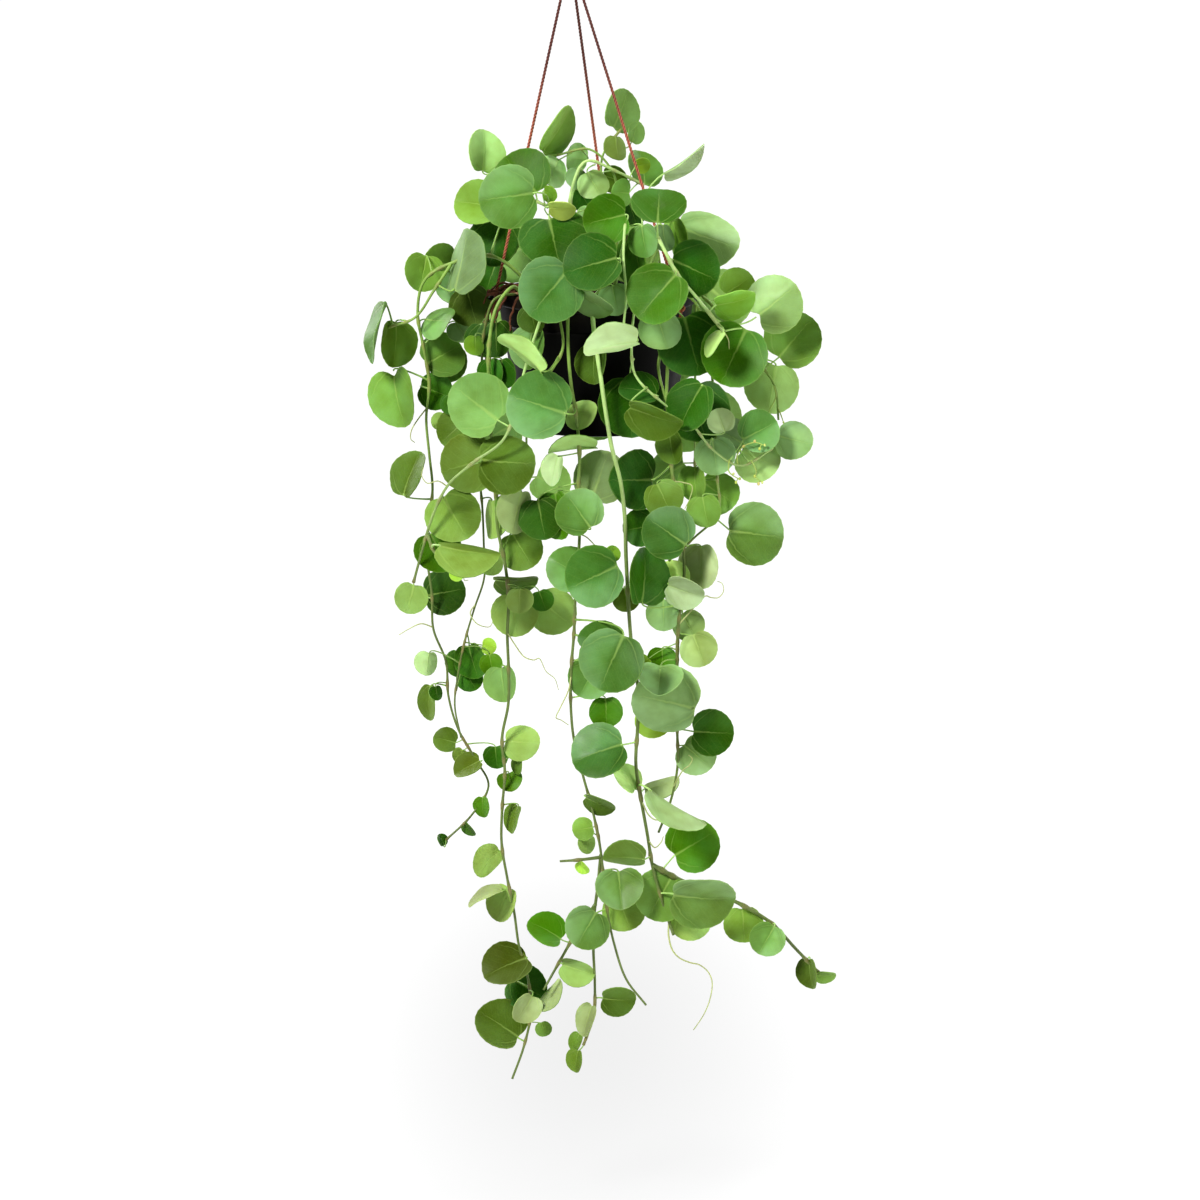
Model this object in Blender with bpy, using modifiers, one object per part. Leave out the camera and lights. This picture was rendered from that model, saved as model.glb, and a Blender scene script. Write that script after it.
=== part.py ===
"""Potted grape ivy: a trailing plant with round leaves in a black nursery pot, hung by three cords.

Metres, +Z up. The origin is the inside of the hook's crook, where the whole thing hangs,
and the front faces -Y. Places on the plant are written in millimetres, as seen from the front.
"""

import math
import random

import bmesh
import bpy
from mathutils import Matrix, Vector
from mathutils.bvhtree import BVHTree

MM = 0.001
GAP = 0.0003

# Pot
POT_AXIS_X = 0.020
RIM_Z = -0.310
POT_HEIGHT = 0.108
RIM_RADIUS = 0.080
RIM_LIP_HEIGHT = 0.009
WALL_RADIUS = 0.0765
BASE_RADIUS = 0.061
WALL = 0.0016
ROUND_STEPS = 32
DRAIN_RADIUS = 0.005
DRAIN_RING_RADIUS = 0.040
DRAIN_COUNT = 4

# Ears on the rim, one for each cord, by their bearing from the front
EAR_BEARINGS = {"left": -70, "right": 50, "back": 170}
EAR_DISTANCE = 0.084
EAR_RADIUS = 0.0055
EAR_THICKNESS = 0.003
EAR_HOLE_RADIUS = 0.0026

# Soil and the holes in it that the stems stand in
SOIL_DROP = 0.012
ROOT_DEPTH = 0.013
ROOT_CLEARANCE = 0.0008

# Cords, knots and hook
CORD_RADIUS = 0.00125
CORD_POINTS = 16
KNOT_Z = -0.051
KNOT_RADIUS = 0.0070
EAR_KNOT_RADIUS = 0.0032
HOOK_WIRE_RADIUS = 0.0015
HOOK_CROOK_RADIUS = 0.012
HOOK_END_Z = -0.055

# The view that the plant's places are read in: a camera's distance, its downward tilt and
# the point it looks at, which is the same point as VIEW_READING in the readings
VIEW_DISTANCE = 3.2
VIEW_TILT = math.radians(11)
VIEW_POINT = Vector((POT_AXIS_X + 0.0032, 0.0, -0.559))
VIEW_READING = (3.2, 540.0)
VIEW_RIGHT = Vector((1.0, 0.0, 0.0))
VIEW_UP = Vector((0.0, math.sin(VIEW_TILT), math.cos(VIEW_TILT)))
VIEW_TOWARDS = Vector((0.0, -math.cos(VIEW_TILT), math.sin(VIEW_TILT)))

# Stems and leaves
STEM_SPACING = 0.028
STEM_TIP_SHARE = 0.7
LEAF_CENTRE = 0.42
LEAF_RADIUS = 0.50
LEAF_BREADTH = 1.03
LEAF_NOTCH = 0.22
LEAF_NOTCH_WIDTH = 0.38
LEAF_THICKNESS = 0.0009
LEAF_FOLD = 0.24
LEAF_CURL = 0.14
PETIOLE_HALF = 0.00062
STRAIGHT_PETIOLE = 0.020
LARGE_LEAF = 0.040
SMALL_LEAF = 0.031
CLEARANCE = 0.0004

SOIL_Z = RIM_Z - SOIL_DROP


# The vines. Each has the place of its root in the soil (right of the pot's axis, forward), the
# radius of its stem, its routes as (right, drop, forward), of which the later ones branch off,
# and its leaves as (right, drop, size, clock angle of the tip, tip towards the viewer, roll, forward).
VINES = {
    "sprig_top": dict(
        root=(2, -4),
        radius=1.2,
        routes=[[(4, 262, -4), (5, 230, 0), (5, 200, 0), (6, 178, 0), (12, 167, -2), (20, 163, -4)]],
        leaves=[
            (20, 149, 35, 25, 0, 42, -4),
            (31, 166, 20, 15, 0, 50, -14),
            (16, 178, 22, 175, 10, 140, 10),
        ],
    ),
    "sprig_arch": dict(
        root=(14, -14),
        radius=1.2,
        routes=[[(17, 250, 4), (17, 215, 14), (11, 192, 16), (0, 181, 14), (-18, 179, 12), (-31, 184, 10)]],
        leaves=[
            (-31, 166, 45, 35, 0, 68, 10),
            (-15, 187, 24, -95, 40, 160, 0),
            (-34, 197, 27, -160, 20, 150, -8),
        ],
    ),
    "arch_pale": dict(
        root=(-16, 16),
        radius=1.5,
        routes=[
            [(-19, 240, 30), (-20, 213, 36), (-17, 197, 36), (-10, 190, 34), (0, 187, 32),
             (9, 191, 28), (18, 198, 24), (30, 201, 16), (38, 208, 8)],
        ],
        leaves=[
            (38, 195, 33, -4, -15, 38, 0),
            (-2, 207, 25, 150, 10, 165, 24),
            (-15, 203, 19, 190, 10, 150, 24),
            (21, 214, 21, -90, 45, 0, 12),
        ],
    ),
    "crown_left": dict(
        root=(-32, 6),
        radius=1.4,
        routes=[
            [(-26, 262, 30), (-27, 238, 44), (-36, 226, 50), (-48, 221, 30), (-62, 215, 12),
             (-75, 207, 0), (-83, 199, -6)],
        ],
        leaves=[
            (-69, 217, 48, -98, 0, -12, 74),
            (-34, 251, 52, 168, 35, 0, 94),
            (-28, 227, 23, 97, 10, 60, 92),
            (-59, 201, 45, -40, -15, 10, 28),
            (-89, 182, 37, 5, 0, 43, -6),
            (-95, 223, 37, -80, 0, 15, 8),
        ],
    ),
    "vine_far_left": dict(
        root=(-44, -8),
        radius=1.3,
        routes=[
            [(-50, 297, 20), (-60, 281, 34), (-68, 270, 36), (-78, 266, 36), (-92, 264, 34),
             (-108, 268, 32), (-122, 273, 30), (-134, 281, 28), (-142, 291, 26), (-144, 302, 26),
             (-141, 318, 26), (-139, 332, 26), (-136, 348, 26), (-133, 361, 26), (-135, 376, 26),
             (-136, 392, 26), (-134, 410, 26), (-133, 430, 26), (-131, 448, 26), (-131, 460, 26),
             (-134, 480, 26), (-135, 505, 26), (-132, 530, 26), (-130, 548, 26), (-131, 560, 26),
             (-126, 572, 26), (-121, 584, 26), (-119, 600, 26), (-118, 617, 26), (-113, 632, 26),
             (-109, 647, 26), (-103, 659, 28), (-96, 668, 30), (-88, 673, 32), (-83, 680, 34),
             (-86, 689, 34), (-91, 699, 34), (-97, 709, 34), (-105, 718, 34), (-113, 726, 34),
             (-120, 732, 34)],
            [(-116, 271, 31), (-124, 280, 36), (-129, 290, 38), (-132, 300, 38), (-140, 308, 38),
             (-147, 317, 38), (-152, 322, 38), (-160, 323, 36), (-166, 322, 34)],
        ],
        leaves=[
            (-80, 252, 43, -165, 10, 20, 0),
            (-107, 271, 55, 16, 0, 121, 44),
            (-117, 290, 27, -170, 10, 130, 22),
            (-124, 270, 30, -80, 40, 0, 16),
            (-138, 277, 32, -170, 10, -20, 14),
            (-100, 304, 34, 165, 10, 15, 34),
            (-175, 324, 54, -165, 0, 78, 34),
            (-160, 334, 39, 180, 0, -48, 30),
            (-127, 317, 31, 100, 40, 150, 28),
            (-108, 325, 22, 150, 20, 150, 12),
            (-123, 344, 36, 60, -10, 0, 18),
            (-118, 350, 31, 75, 0, 160, 6),
            (-129, 373, 29, 110, 0, 0, 16),
            (-160, 376, 51, 172, 0, 45, 22),
            (-149, 440, 41, 20, 0, -52, 22),
            (-122, 534, 35, 80, 0, 0, 14),
            (-134, 621, 31, -175, 0, 62, 20),
            (-120, 652, 21, -75, 0, 25, 26),
            (-102, 673, 26, -115, 0, 50, 36),
            (-80, 665, 20, 175, 0, 10, 26),
            (-91, 705, 18, 180, 0, 45, 38),
        ],
    ),
    "vine_left_pale": dict(
        root=(-26, 32),
        radius=1.5,
        routes=[
            [(-36, 297, 78), (-42, 312, 88), (-52, 338, 92), (-61, 372, 94), (-66, 398, 95),
             (-71, 409, 96), (-90, 424, 96), (-107, 437, 92), (-120, 450, 88), (-127, 460, 86),
             (-131, 474, 84), (-134, 487, 82), (-139, 500, 80), (-143, 512, 78), (-146, 526, 76)],
            [(-134, 488, 82), (-129, 502, 84), (-120, 513, 86)],
        ],
        leaves=[
            (-94, 384, 49, -52, 0, 172, 84),
            (-73, 430, 48, 95, 0, 160, 86),
            (-101, 431, 46, -105, 0, 170, 70),
            (-114, 472, 43, 150, 0, 172, 74),
            (-126, 499, 37, 150, 10, 0, 68),
            (-104, 502, 54, 103, 0, 116, 90),
            (-84, 511, 19, 170, 0, 165, 96),
            (-148, 538, 26, -165, 0, -10, 76),
        ],
    ),
    "vine_left_thin": dict(
        root=(-55, 4),
        radius=1.1,
        routes=[
            [(-67, 297, 34), (-80, 300, 48), (-88, 318, 50), (-91, 345, 52), (-92, 375, 52),
             (-93, 410, 52), (-93, 445, 52), (-91, 465, 52), (-90, 490, 52), (-89, 515, 52),
             (-91, 531, 52), (-97, 546, 52), (-101, 558, 52), (-105, 573, 50), (-108, 590, 48),
             (-112, 606, 46), (-113, 621, 44), (-112, 636, 42), (-108, 650, 42)],
        ],
        leaves=[
            (-91, 331, 29, 178, 0, 30, 44),
            (-80, 330, 31, 180, 0, 25, 60),
            (-112, 403, 32, -130, 0, 20, 50),
            (-82, 474, 34, 178, 0, -122, 70),
            (-135, 590, 21, -170, 0, 145, 36),
            (-99, 588, 31, 165, 0, 38, 40),
            (-112, 590, 23, -170, 0, 50, 34),
            (-101, 603, 21, 150, 10, 0, 32),
            (-84, 591, 18, 170, 0, 0, 56),
        ],
    ),
    "vine_left_long": dict(
        root=(-56, 26),
        radius=1.4,
        routes=[
            [(-64, 290, 44), (-77, 302, 64), (-84, 322, 71), (-86, 350, 72), (-85, 385, 72),
             (-83, 420, 72), (-80, 455, 72), (-79, 480, 74), (-76, 497, 74), (-73, 510, 74),
             (-70, 524, 74), (-70, 545, 72), (-71, 568, 72), (-70, 592, 72), (-70, 615, 72),
             (-71, 635, 72), (-75, 650, 72), (-77, 662, 72), (-73, 677, 72), (-74, 690, 72),
             (-75, 704, 72), (-75, 718, 72), (-76, 731, 72), (-73, 744, 72), (-72, 757, 72),
             (-69, 771, 72), (-66, 785, 72), (-65, 797, 72), (-63, 811, 72), (-60, 822, 72),
             (-56, 836, 72), (-53, 850, 72), (-52, 865, 72), (-53, 880, 72), (-55, 890, 72),
             (-60, 903, 72), (-64, 915, 72), (-67, 923, 72)],
        ],
        leaves=[
            (-84, 357, 23, 175, 0, 30, 64),
            (-74, 358, 25, 170, 0, 35, 66),
            (-64, 468, 38, -165, 0, 132, 84),
            (-60, 499, 35, 150, 0, 165, 62),
            (-66, 525, 38, 93, 0, 68, 80),
            (-65, 551, 36, 178, 5, 0, 66),
            (-61, 540, 21, 180, 0, 0, 94),
            (-34, 549, 37, 130, 0, 10, 60),
            (-43, 540, 18, 160, 0, 0, 70),
            (-75, 606, 31, 175, 0, 142, 62),
            (-60, 654, 30, 95, 0, 155, 66),
            (-69, 684, 20, 170, 40, 0, 64),
            (-66, 714, 25, 200, 0, 62, 70),
            (-86, 748, 30, -135, 0, 132, 66),
            (-88, 776, 32, -110, 0, 78, 76),
            (-75, 782, 31, -155, 0, 42, 64),
            (-71, 832, 41, -110, 15, 42, 80),
            (-56, 850, 35, 120, 20, 0, 56),
            (-56, 866, 27, -150, 0, -38, 88),
            (-38, 856, 31, 45, 0, 110, 72),
            (-76, 880, 43, -55, 0, 33, 64),
        ],
    ),
    "vine_centre_left": dict(
        root=(-16, 40),
        radius=1.4,
        routes=[
            [(-20, 296, 80), (-22, 306, 88), (-23, 322, 90), (-22, 342, 90), (-21, 360, 90),
             (-18, 376, 90), (-16, 392, 90), (-14, 404, 90), (-13, 418, 90), (-14, 435, 90),
             (-14, 455, 90), (-13, 480, 90), (-14, 505, 90), (-16, 530, 90), (-17, 548, 90),
             (-17, 562, 90), (-19, 577, 90), (-20, 600, 90), (-20, 635, 90), (-18, 650, 90),
             (-14, 667, 90), (-10, 682, 90), (-6, 697, 90), (-2, 711, 90), (1, 725, 90),
             (4, 742, 90), (6, 760, 90), (8, 780, 90), (11, 802, 90), (16, 820, 90),
             (22, 838, 90), (30, 855, 88), (40, 864, 86)],
            [(4, 744, 90), (2, 765, 84), (-1, 785, 82), (-2, 805, 82), (-2, 822, 82),
             (-1, 843, 82), (-1, 859, 82), (-2, 875, 82), (-2, 888, 82), (-10, 896, 84)],
            [(-1, 783, 82), (-10, 797, 78), (-21, 814, 78), (-29, 829, 78), (-37, 843, 80),
             (-42, 852, 84)],
            [(3, 746, 90), (-14, 748, 92), (-29, 749, 92)],
        ],
        leaves=[
            (-45, 384, 52, -72, 0, 0, 112),
            (-12, 391, 27, 95, 20, 150, 84),
            (-44, 474, 35, 170, 0, 15, 84),
            (-31, 471, 41, 175, 0, 50, 94),
            (-13, 470, 37, -35, 0, 0, 104),
            (3, 442, 43, 20, 0, 165, 80),
            (-1, 521, 47, -115, 0, 0, 102),
            (-22, 515, 35, -60, 0, 0, 82),
            (5, 573, 38, -72, 0, 45, 126),
            (13, 588, 50, -155, 0, 12, 114),
            (-5, 602, 34, -150, 0, 0, 86),
            (8, 629, 26, 178, 0, 0, 92),
            (2, 703, 28, 115, 0, 60, 96),
            (-10, 723, 18, -100, 0, 0, 90),
            (19, 770, 37, 175, 30, 0, 102),
            (22, 789, 33, 160, 0, 0, 82),
            (-7, 802, 35, -150, 0, 0, 98),
            (-39, 804, 33, -58, 0, 45, 80),
            (-16, 836, 31, 110, 0, 125, 82),
            (17, 860, 30, 95, 0, 35, 82),
            (-7, 875, 29, 200, 0, 62, 84),
            (-16, 908, 20, 190, 0, 52, 84),
            (-17, 418, 42, -92, 0, 102, 86),
            (-34, 435, 27, -165, 0, 125, 84),
        ],
    ),
    "vine_short_centre": dict(
        root=(-24, 50),
        radius=1.5,
        routes=[
            [(-31, 296, 78), (-30, 310, 90), (-26, 322, 94), (-25, 333, 94), (-29, 345, 94),
             (-33, 356, 94), (-39, 362, 94)],
        ],
        leaves=[
            (-36, 292, 50, -140, 0, 0, 114),
            (-6, 300, 41, 128, 0, 68, 106),
            (-57, 343, 48, -48, 0, 104, 110),
            (-54, 337, 36, -165, 0, 42, 78),
            (-51, 315, 23, 170, 0, 150, 92),
        ],
    ),
    "vine_centre_thick": dict(
        root=(-2, 40),
        radius=1.8,
        routes=[
            [(-4, 294, 84), (-3, 310, 92), (-2, 326, 96), (2, 340, 98), (3, 352, 98),
             (4, 368, 98), (7, 385, 98), (10, 402, 98), (13, 420, 98), (17, 436, 98),
             (21, 451, 98), (23, 464, 98), (23, 482, 98), (24, 505, 98), (24, 522, 96),
             (27, 542, 94), (27, 560, 94), (30, 590, 94), (33, 606, 94), (35, 626, 94),
             (33, 645, 94), (30, 660, 94), (32, 672, 94), (35, 692, 94), (38, 713, 94),
             (42, 732, 94), (45, 751, 94), (48, 768, 94), (53, 781, 94), (59, 795, 94),
             (62, 808, 94)],
            [(45, 752, 94), (62, 762, 90), (85, 770, 86), (105, 779, 84), (117, 784, 84),
             (130, 792, 84), (146, 803, 84), (158, 817, 84), (168, 828, 84), (178, 838, 84)],
        ],
        leaves=[
            (-2, 271, 48, -104, 0, 25, 120),
            (15, 299, 26, 170, 0, 20, 84),
            (-2, 350, 33, 185, 0, 45, 86),
            (24, 539, 21, 170, 0, 0, 84),
            (3, 661, 46, -108, 0, 28, 104),
            (25, 683, 27, -40, 0, 50, 94),
            (52, 689, 31, 78, 0, 115, 90),
            (62, 706, 57, 125, 0, 103, 102),
            (77, 736, 43, 60, 0, 0, 94),
            (24, 745, 36, -82, 0, 125, 100),
            (52, 776, 42, -150, 0, 0, 96),
            (84, 779, 55, 98, 0, 42, 108),
            (76, 796, 33, 140, 0, 0, 84),
            (118, 799, 31, 175, 0, 0, 80),
            (137, 811, 28, -150, 0, 0, 96),
            (171, 838, 27, 178, 0, 58, 86),
            (183, 841, 18, 95, 0, 55, 84),
        ],
    ),
    "vine_right_front": dict(
        root=(26, 30),
        radius=1.7,
        routes=[
            [(33, 278, 56), (38, 254, 84), (44, 238, 102), (50, 252, 112), (58, 267, 112),
             (65, 279, 112), (73, 290, 110), (82, 300, 108), (90, 308, 106), (97, 316, 104),
             (102, 325, 102)],
        ],
        leaves=[
            (50, 225, 41, 4, -38, 0, 120),
            (50, 295, 49, -138, 0, 25, 130),
            (77, 275, 43, 115, 0, 5, 98),
            (110, 302, 35, 80, 0, 58, 100),
            (142, 303, 45, 52, 0, 172, 84),
            (95, 334, 25, -145, 0, 68, 124),
            (111, 343, 51, -155, 0, 5, 114),
            (54, 250, 23, 172, 0, 140, 92),
            (64, 247, 27, 165, 0, 50, 80),
            (87, 250, 54, 112, 0, 150, 66),
            (70, 190, 43, 58, 0, 82, 40),
        ],
    ),
    "vine_centre_pale": dict(
        root=(12, 34),
        radius=1.4,
        routes=[
            [(17, 280, 58), (22, 255, 78), (27, 234, 92), (23, 240, 104), (20, 251, 110),
             (22, 266, 112), (22, 283, 112), (25, 300, 112), (24, 313, 112), (22, 322, 112)],
        ],
        leaves=[
            (9, 235, 37, -103, 0, -5, 104),
            (14, 335, 47, -98, 0, 113, 120),
            (33, 268, 45, 172, 0, 62, 84),
            (38, 252, 27, 172, 0, 35, 90),
        ],
    ),
    "vine_right_low": dict(
        root=(34, 42),
        radius=1.2,
        routes=[
            [(35, 292, 76), (31, 306, 92), (29, 325, 96), (28, 344, 97), (29, 356, 98),
             (36, 365, 99), (45, 374, 100), (55, 384, 102), (68, 393, 102), (78, 400, 102),
             (85, 408, 100), (92, 418, 98), (98, 425, 96), (105, 430, 94), (113, 433, 92),
             (125, 430, 90), (135, 423, 88), (141, 419, 86)],
        ],
        leaves=[
            (28, 384, 50, 178, 0, 0, 84),
            (35, 372, 33, -75, 0, 42, 94),
            (45, 393, 48, 113, 0, 62, 96),
            (76, 383, 43, -150, 0, 38, 112),
            (82, 388, 49, 170, 0, 10, 84),
            (95, 424, 31, 172, 0, 0, 90),
            (130, 405, 33, 62, 0, 0, 92),
            (158, 412, 30, 105, 0, 170, 76),
            (108, 409, 28, -60, 0, 165, 82),
            (100, 397, 21, -20, 0, 0, 84),
            (129, 427, 36, 115, 0, 165, 78),
        ],
    ),
    "vine_right_long": dict(
        root=(50, 26),
        radius=1.5,
        routes=[
            [(52, 287, 50), (58, 300, 74), (60, 318, 84), (59, 337, 86), (57, 358, 86),
             (56, 378, 87), (57, 392, 88), (58, 405, 88), (59, 420, 88), (61, 440, 88),
             (64, 455, 88), (67, 470, 88), (70, 490, 88), (70, 510, 88), (70, 535, 88),
             (68, 552, 88), (65, 565, 88), (65, 590, 88), (65, 615, 88), (65, 640, 86),
             (65, 660, 86), (65, 678, 86), (62, 693, 86), (59, 703, 84), (55, 716, 82),
             (50, 726, 82)],
            [(60, 322, 84), (50, 334, 84), (50, 352, 84), (54, 371, 85), (57, 384, 88)],
        ],
        leaves=[
            (52, 323, 33, 165, 0, 165, 96),
            (76, 334, 52, 165, 0, 0, 84),
            (60, 417, 28, 172, 0, 45, 92),
            (31, 444, 46, -92, 38, 0, 84),
            (54, 458, 30, 155, 0, 0, 94),
            (36, 482, 29, -100, 0, 0, 84),
            (39, 523, 48, 5, 0, 50, 106),
            (61, 522, 27, -30, 0, 0, 96),
            (70, 533, 33, 112, 0, 45, 100),
            (84, 512, 37, 178, 0, 38, 90),
            (54, 551, 27, 178, 0, 0, 92),
            (74, 560, 25, 150, 0, 0, 84),
            (82, 579, 29, 160, 0, 0, 92),
            (53, 588, 23, 180, 10, 0, 92),
            (51, 602, 35, 185, 50, 0, 120),
            (57, 621, 55, -75, 0, 158, 108),
            (46, 636, 29, 160, 0, 0, 80),
            (92, 646, 36, 93, 0, 0, 94),
            (80, 664, 32, 130, 0, 0, 82),
        ],
    ),
    "vine_right_mid": dict(
        root=(54, 6),
        radius=1.2,
        routes=[
            [(70, 296, 40), (82, 308, 54), (90, 335, 64), (94, 375, 72), (96, 410, 80),
             (97, 445, 87), (98, 471, 93), (90, 480, 96), (80, 489, 98), (70, 497, 99),
             (62, 505, 99), (58, 509, 99)],
        ],
        leaves=[
            (126, 487, 48, 97, 0, 0, 94),
            (97, 454, 35, 125, 0, 165, 76),
            (87, 468, 27, 170, 0, 20, 100),
            (79, 446, 31, 180, 0, 50, 84),
            (58, 486, 41, -55, 0, 0, 110),
        ],
    ),
    "vine_far_right": dict(
        root=(58, -14),
        radius=1.3,
        routes=[
            [(72, 292, 0), (88, 302, 14), (100, 314, 26), (114, 331, 36), (128, 347, 42),
             (141, 364, 46), (144, 376, 48), (144, 386, 48), (146, 396, 48)],
        ],
        leaves=[
            (158, 332, 45, 40, 0, -10, 48),
            (141, 369, 43, -170, 0, 170, 36),
            (113, 289, 29, 55, 0, 0, 20),
        ],
    ),
}

# Vines at the back, by bearing from the pot's back, length below the rim and leaf count
BACK_VINES = {
    "vine_back_1": (-58, 0.150, 5),
    "vine_back_2": (-34, 0.120, 4),
    "vine_back_3": (-11, 0.110, 4),
    "vine_back_4": (13, 0.120, 4),
    "vine_back_5": (37, 0.165, 6),
}
BACK_ROOT_RADIUS = 0.040
BACK_CREST = (0.066, 0.040)
BACK_HANG_RADIUS = 0.094
BACK_STEM_RADIUS = 0.0013
BACK_LEAF_SIZES = (0.050, 0.036)


def seen_at(across, drop, forward):
    """The point that is seen at this place from the front, so many millimetres before the pot's axis."""
    eye = VIEW_POINT + VIEW_DISTANCE * VIEW_TOWARDS
    right = VIEW_RIGHT * (across - VIEW_READING[0]) * MM
    down = VIEW_UP * (VIEW_READING[1] - drop) * MM
    ray = VIEW_POINT + right + down - eye
    return eye + ray * ((-forward * MM - eye.y) / ray.y)


def on_soil(across, forward, height):
    return Vector((POT_AXIS_X + across * MM, -forward * MM, SOIL_Z + height))


def at_bearing(bearing, radius, height):
    turn = math.radians(bearing)
    return Vector((POT_AXIS_X + radius * math.sin(turn), -radius * math.cos(turn), height))


def material(name, colour, roughness, metallic=0.0):
    made = bpy.data.materials.new(name)
    made.use_nodes = True
    made.diffuse_color = (*colour, 1)
    shader = made.node_tree.nodes["Principled BSDF"]
    shader.inputs["Base Color"].default_value = (*colour, 1)
    shader.inputs["Roughness"].default_value = roughness
    shader.inputs["Metallic"].default_value = metallic
    return made


def new_collection(name, hidden=False):
    made = bpy.data.collections.new(name)
    made.hide_render = hidden
    bpy.context.scene.collection.children.link(made)
    return made


def add_object(name, data, collection, finish=None):
    made = bpy.data.objects.new(name, data)
    collection.objects.link(made)
    if finish:
        data.materials.append(finish)
    return made


def mesh_from(bm, name):
    mesh = bpy.data.meshes.new(name)
    bm.to_mesh(mesh)
    bm.free()
    return mesh


def baked(obj):
    """The object's evaluated mesh, as a new mesh in world space."""
    graph = bpy.context.evaluated_depsgraph_get()
    graph.update()
    mesh = bpy.data.meshes.new_from_object(obj.evaluated_get(graph))
    mesh.transform(obj.matrix_world)
    return mesh


def add_turned(name, profile, collection, finish):
    """A solid turned round the pot's axis from (radius, height) points, inner side first."""
    bm = bmesh.new()
    points = [bm.verts.new((radius, 0, height)) for radius, height in profile]
    for first, second in zip(points, points[1:]):
        bm.edges.new((first, second))
    made = add_object(name, mesh_from(bm, name), collection, finish)
    made.location.x = POT_AXIS_X
    turn = made.modifiers.new("turn", "SCREW")
    turn.steps = ROUND_STEPS
    turn.render_steps = ROUND_STEPS
    turn.use_merge_vertices = True
    turn.merge_threshold = 0.00001
    return made


def boolean(obj, operation, operands):
    change = obj.modifiers.new(operation.lower(), "BOOLEAN")
    change.operation = operation
    change.operand_type = "COLLECTION"
    change.collection = operands
    return change


def add_cylinder(name, collection, centre, radius, height, sides):
    bm = bmesh.new()
    bmesh.ops.create_cone(
        bm, cap_ends=True, segments=sides, radius1=radius, radius2=radius, depth=height,
        matrix=Matrix.Translation(centre),
    )
    return add_object(name, mesh_from(bm, name), collection)


def add_pot(collection, finish):
    top = RIM_Z
    base = RIM_Z - POT_HEIGHT
    lip = RIM_Z - RIM_LIP_HEIGHT
    profile = [
        (0, base + WALL),
        (BASE_RADIUS - WALL, base + WALL),
        (WALL_RADIUS - WALL, lip),
        (RIM_RADIUS - WALL, top),
        (RIM_RADIUS, top - 0.0008),
        (RIM_RADIUS, lip),
        (WALL_RADIUS, lip - 0.0006),
        (BASE_RADIUS, base),
        (0, base),
    ]
    pot = add_turned("pot", profile, collection, finish)
    ears = new_collection("ears", hidden=True)
    holes = new_collection("pot_holes", hidden=True)
    for side, bearing in EAR_BEARINGS.items():
        centre = at_bearing(bearing, EAR_DISTANCE, RIM_Z - EAR_THICKNESS)
        add_cylinder("ear_" + side, ears, centre, EAR_RADIUS, EAR_THICKNESS, 10)
        add_cylinder("ear_hole_" + side, holes, centre, EAR_HOLE_RADIUS, 3 * EAR_THICKNESS, 8)
    for number in range(DRAIN_COUNT):
        centre = at_bearing(360 * (number + 0.5) / DRAIN_COUNT, DRAIN_RING_RADIUS, base)
        add_cylinder(f"drain_{number}", holes, centre, DRAIN_RADIUS, 0.008, 8)
    boolean(pot, "UNION", ears)
    boolean(pot, "DIFFERENCE", holes)
    return pot


def inner_radius(height):
    """The pot's inner radius at this height, less the gap round the soil."""
    lip = RIM_Z - RIM_LIP_HEIGHT
    floor = RIM_Z - POT_HEIGHT + WALL
    share = (height - floor) / (lip - floor)
    return BASE_RADIUS - WALL + share * (WALL_RADIUS - BASE_RADIUS) - GAP * 1.5


def add_soil(collection, finish):
    floor = RIM_Z - POT_HEIGHT + WALL + GAP
    profile = [
        (0, SOIL_Z),
        (inner_radius(SOIL_Z), SOIL_Z),
        (inner_radius(floor), floor),
        (0, floor),
    ]
    return add_turned("soil", profile, collection, finish)


def cut_root_holes(soil, roots):
    """The plain holes in the soil that the stems stand in."""
    holes = new_collection("root_holes", hidden=True)
    for number, (place, radius) in enumerate(roots):
        centre = Vector((place.x, place.y, SOIL_Z))
        add_cylinder(f"root_hole_{number}", holes, centre, radius + ROOT_CLEARANCE, 2 * ROOT_DEPTH + 2 * GAP, 5)
    boolean(soil, "DIFFERENCE", holes)


def add_tube(name, collection, points, radii, resolution, finish=None):
    curve = bpy.data.curves.new(name, "CURVE")
    curve.dimensions = "3D"
    curve.bevel_depth = 1.0
    curve.bevel_resolution = resolution
    curve.use_fill_caps = True
    spline = curve.splines.new("POLY")
    spline.points.add(len(points) - 1)
    for knot, point, radius in zip(spline.points, points, radii):
        knot.co = (*point, 1)
        knot.radius = radius
    return add_object(name, curve, collection, finish)


def tube_mesh(name, points, radii, resolution):
    """A closed tube as a mesh, its caps welded on."""
    spare = add_tube(name, bpy.context.scene.collection, points, radii, resolution)
    mesh = baked(spare)
    curve = spare.data
    bpy.data.objects.remove(spare)
    bpy.data.curves.remove(curve)
    bm = bmesh.new()
    bm.from_mesh(mesh)
    bpy.data.meshes.remove(mesh)
    bmesh.ops.remove_doubles(bm, verts=bm.verts[:], dist=1e-6)
    bmesh.ops.recalc_face_normals(bm, faces=bm.faces[:])
    return bm


def cord_ends(side):
    """The two ends of a cord: just under its ear's hole, and at the upper knot."""
    ear = at_bearing(EAR_BEARINGS[side], EAR_DISTANCE, RIM_Z - EAR_THICKNESS)
    knot = Vector((0, 0, KNOT_Z))
    along = (knot - ear).normalized()
    return ear - along * (EAR_THICKNESS * 0.5 + 0.0006), knot - along * (KNOT_RADIUS + GAP), along


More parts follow.
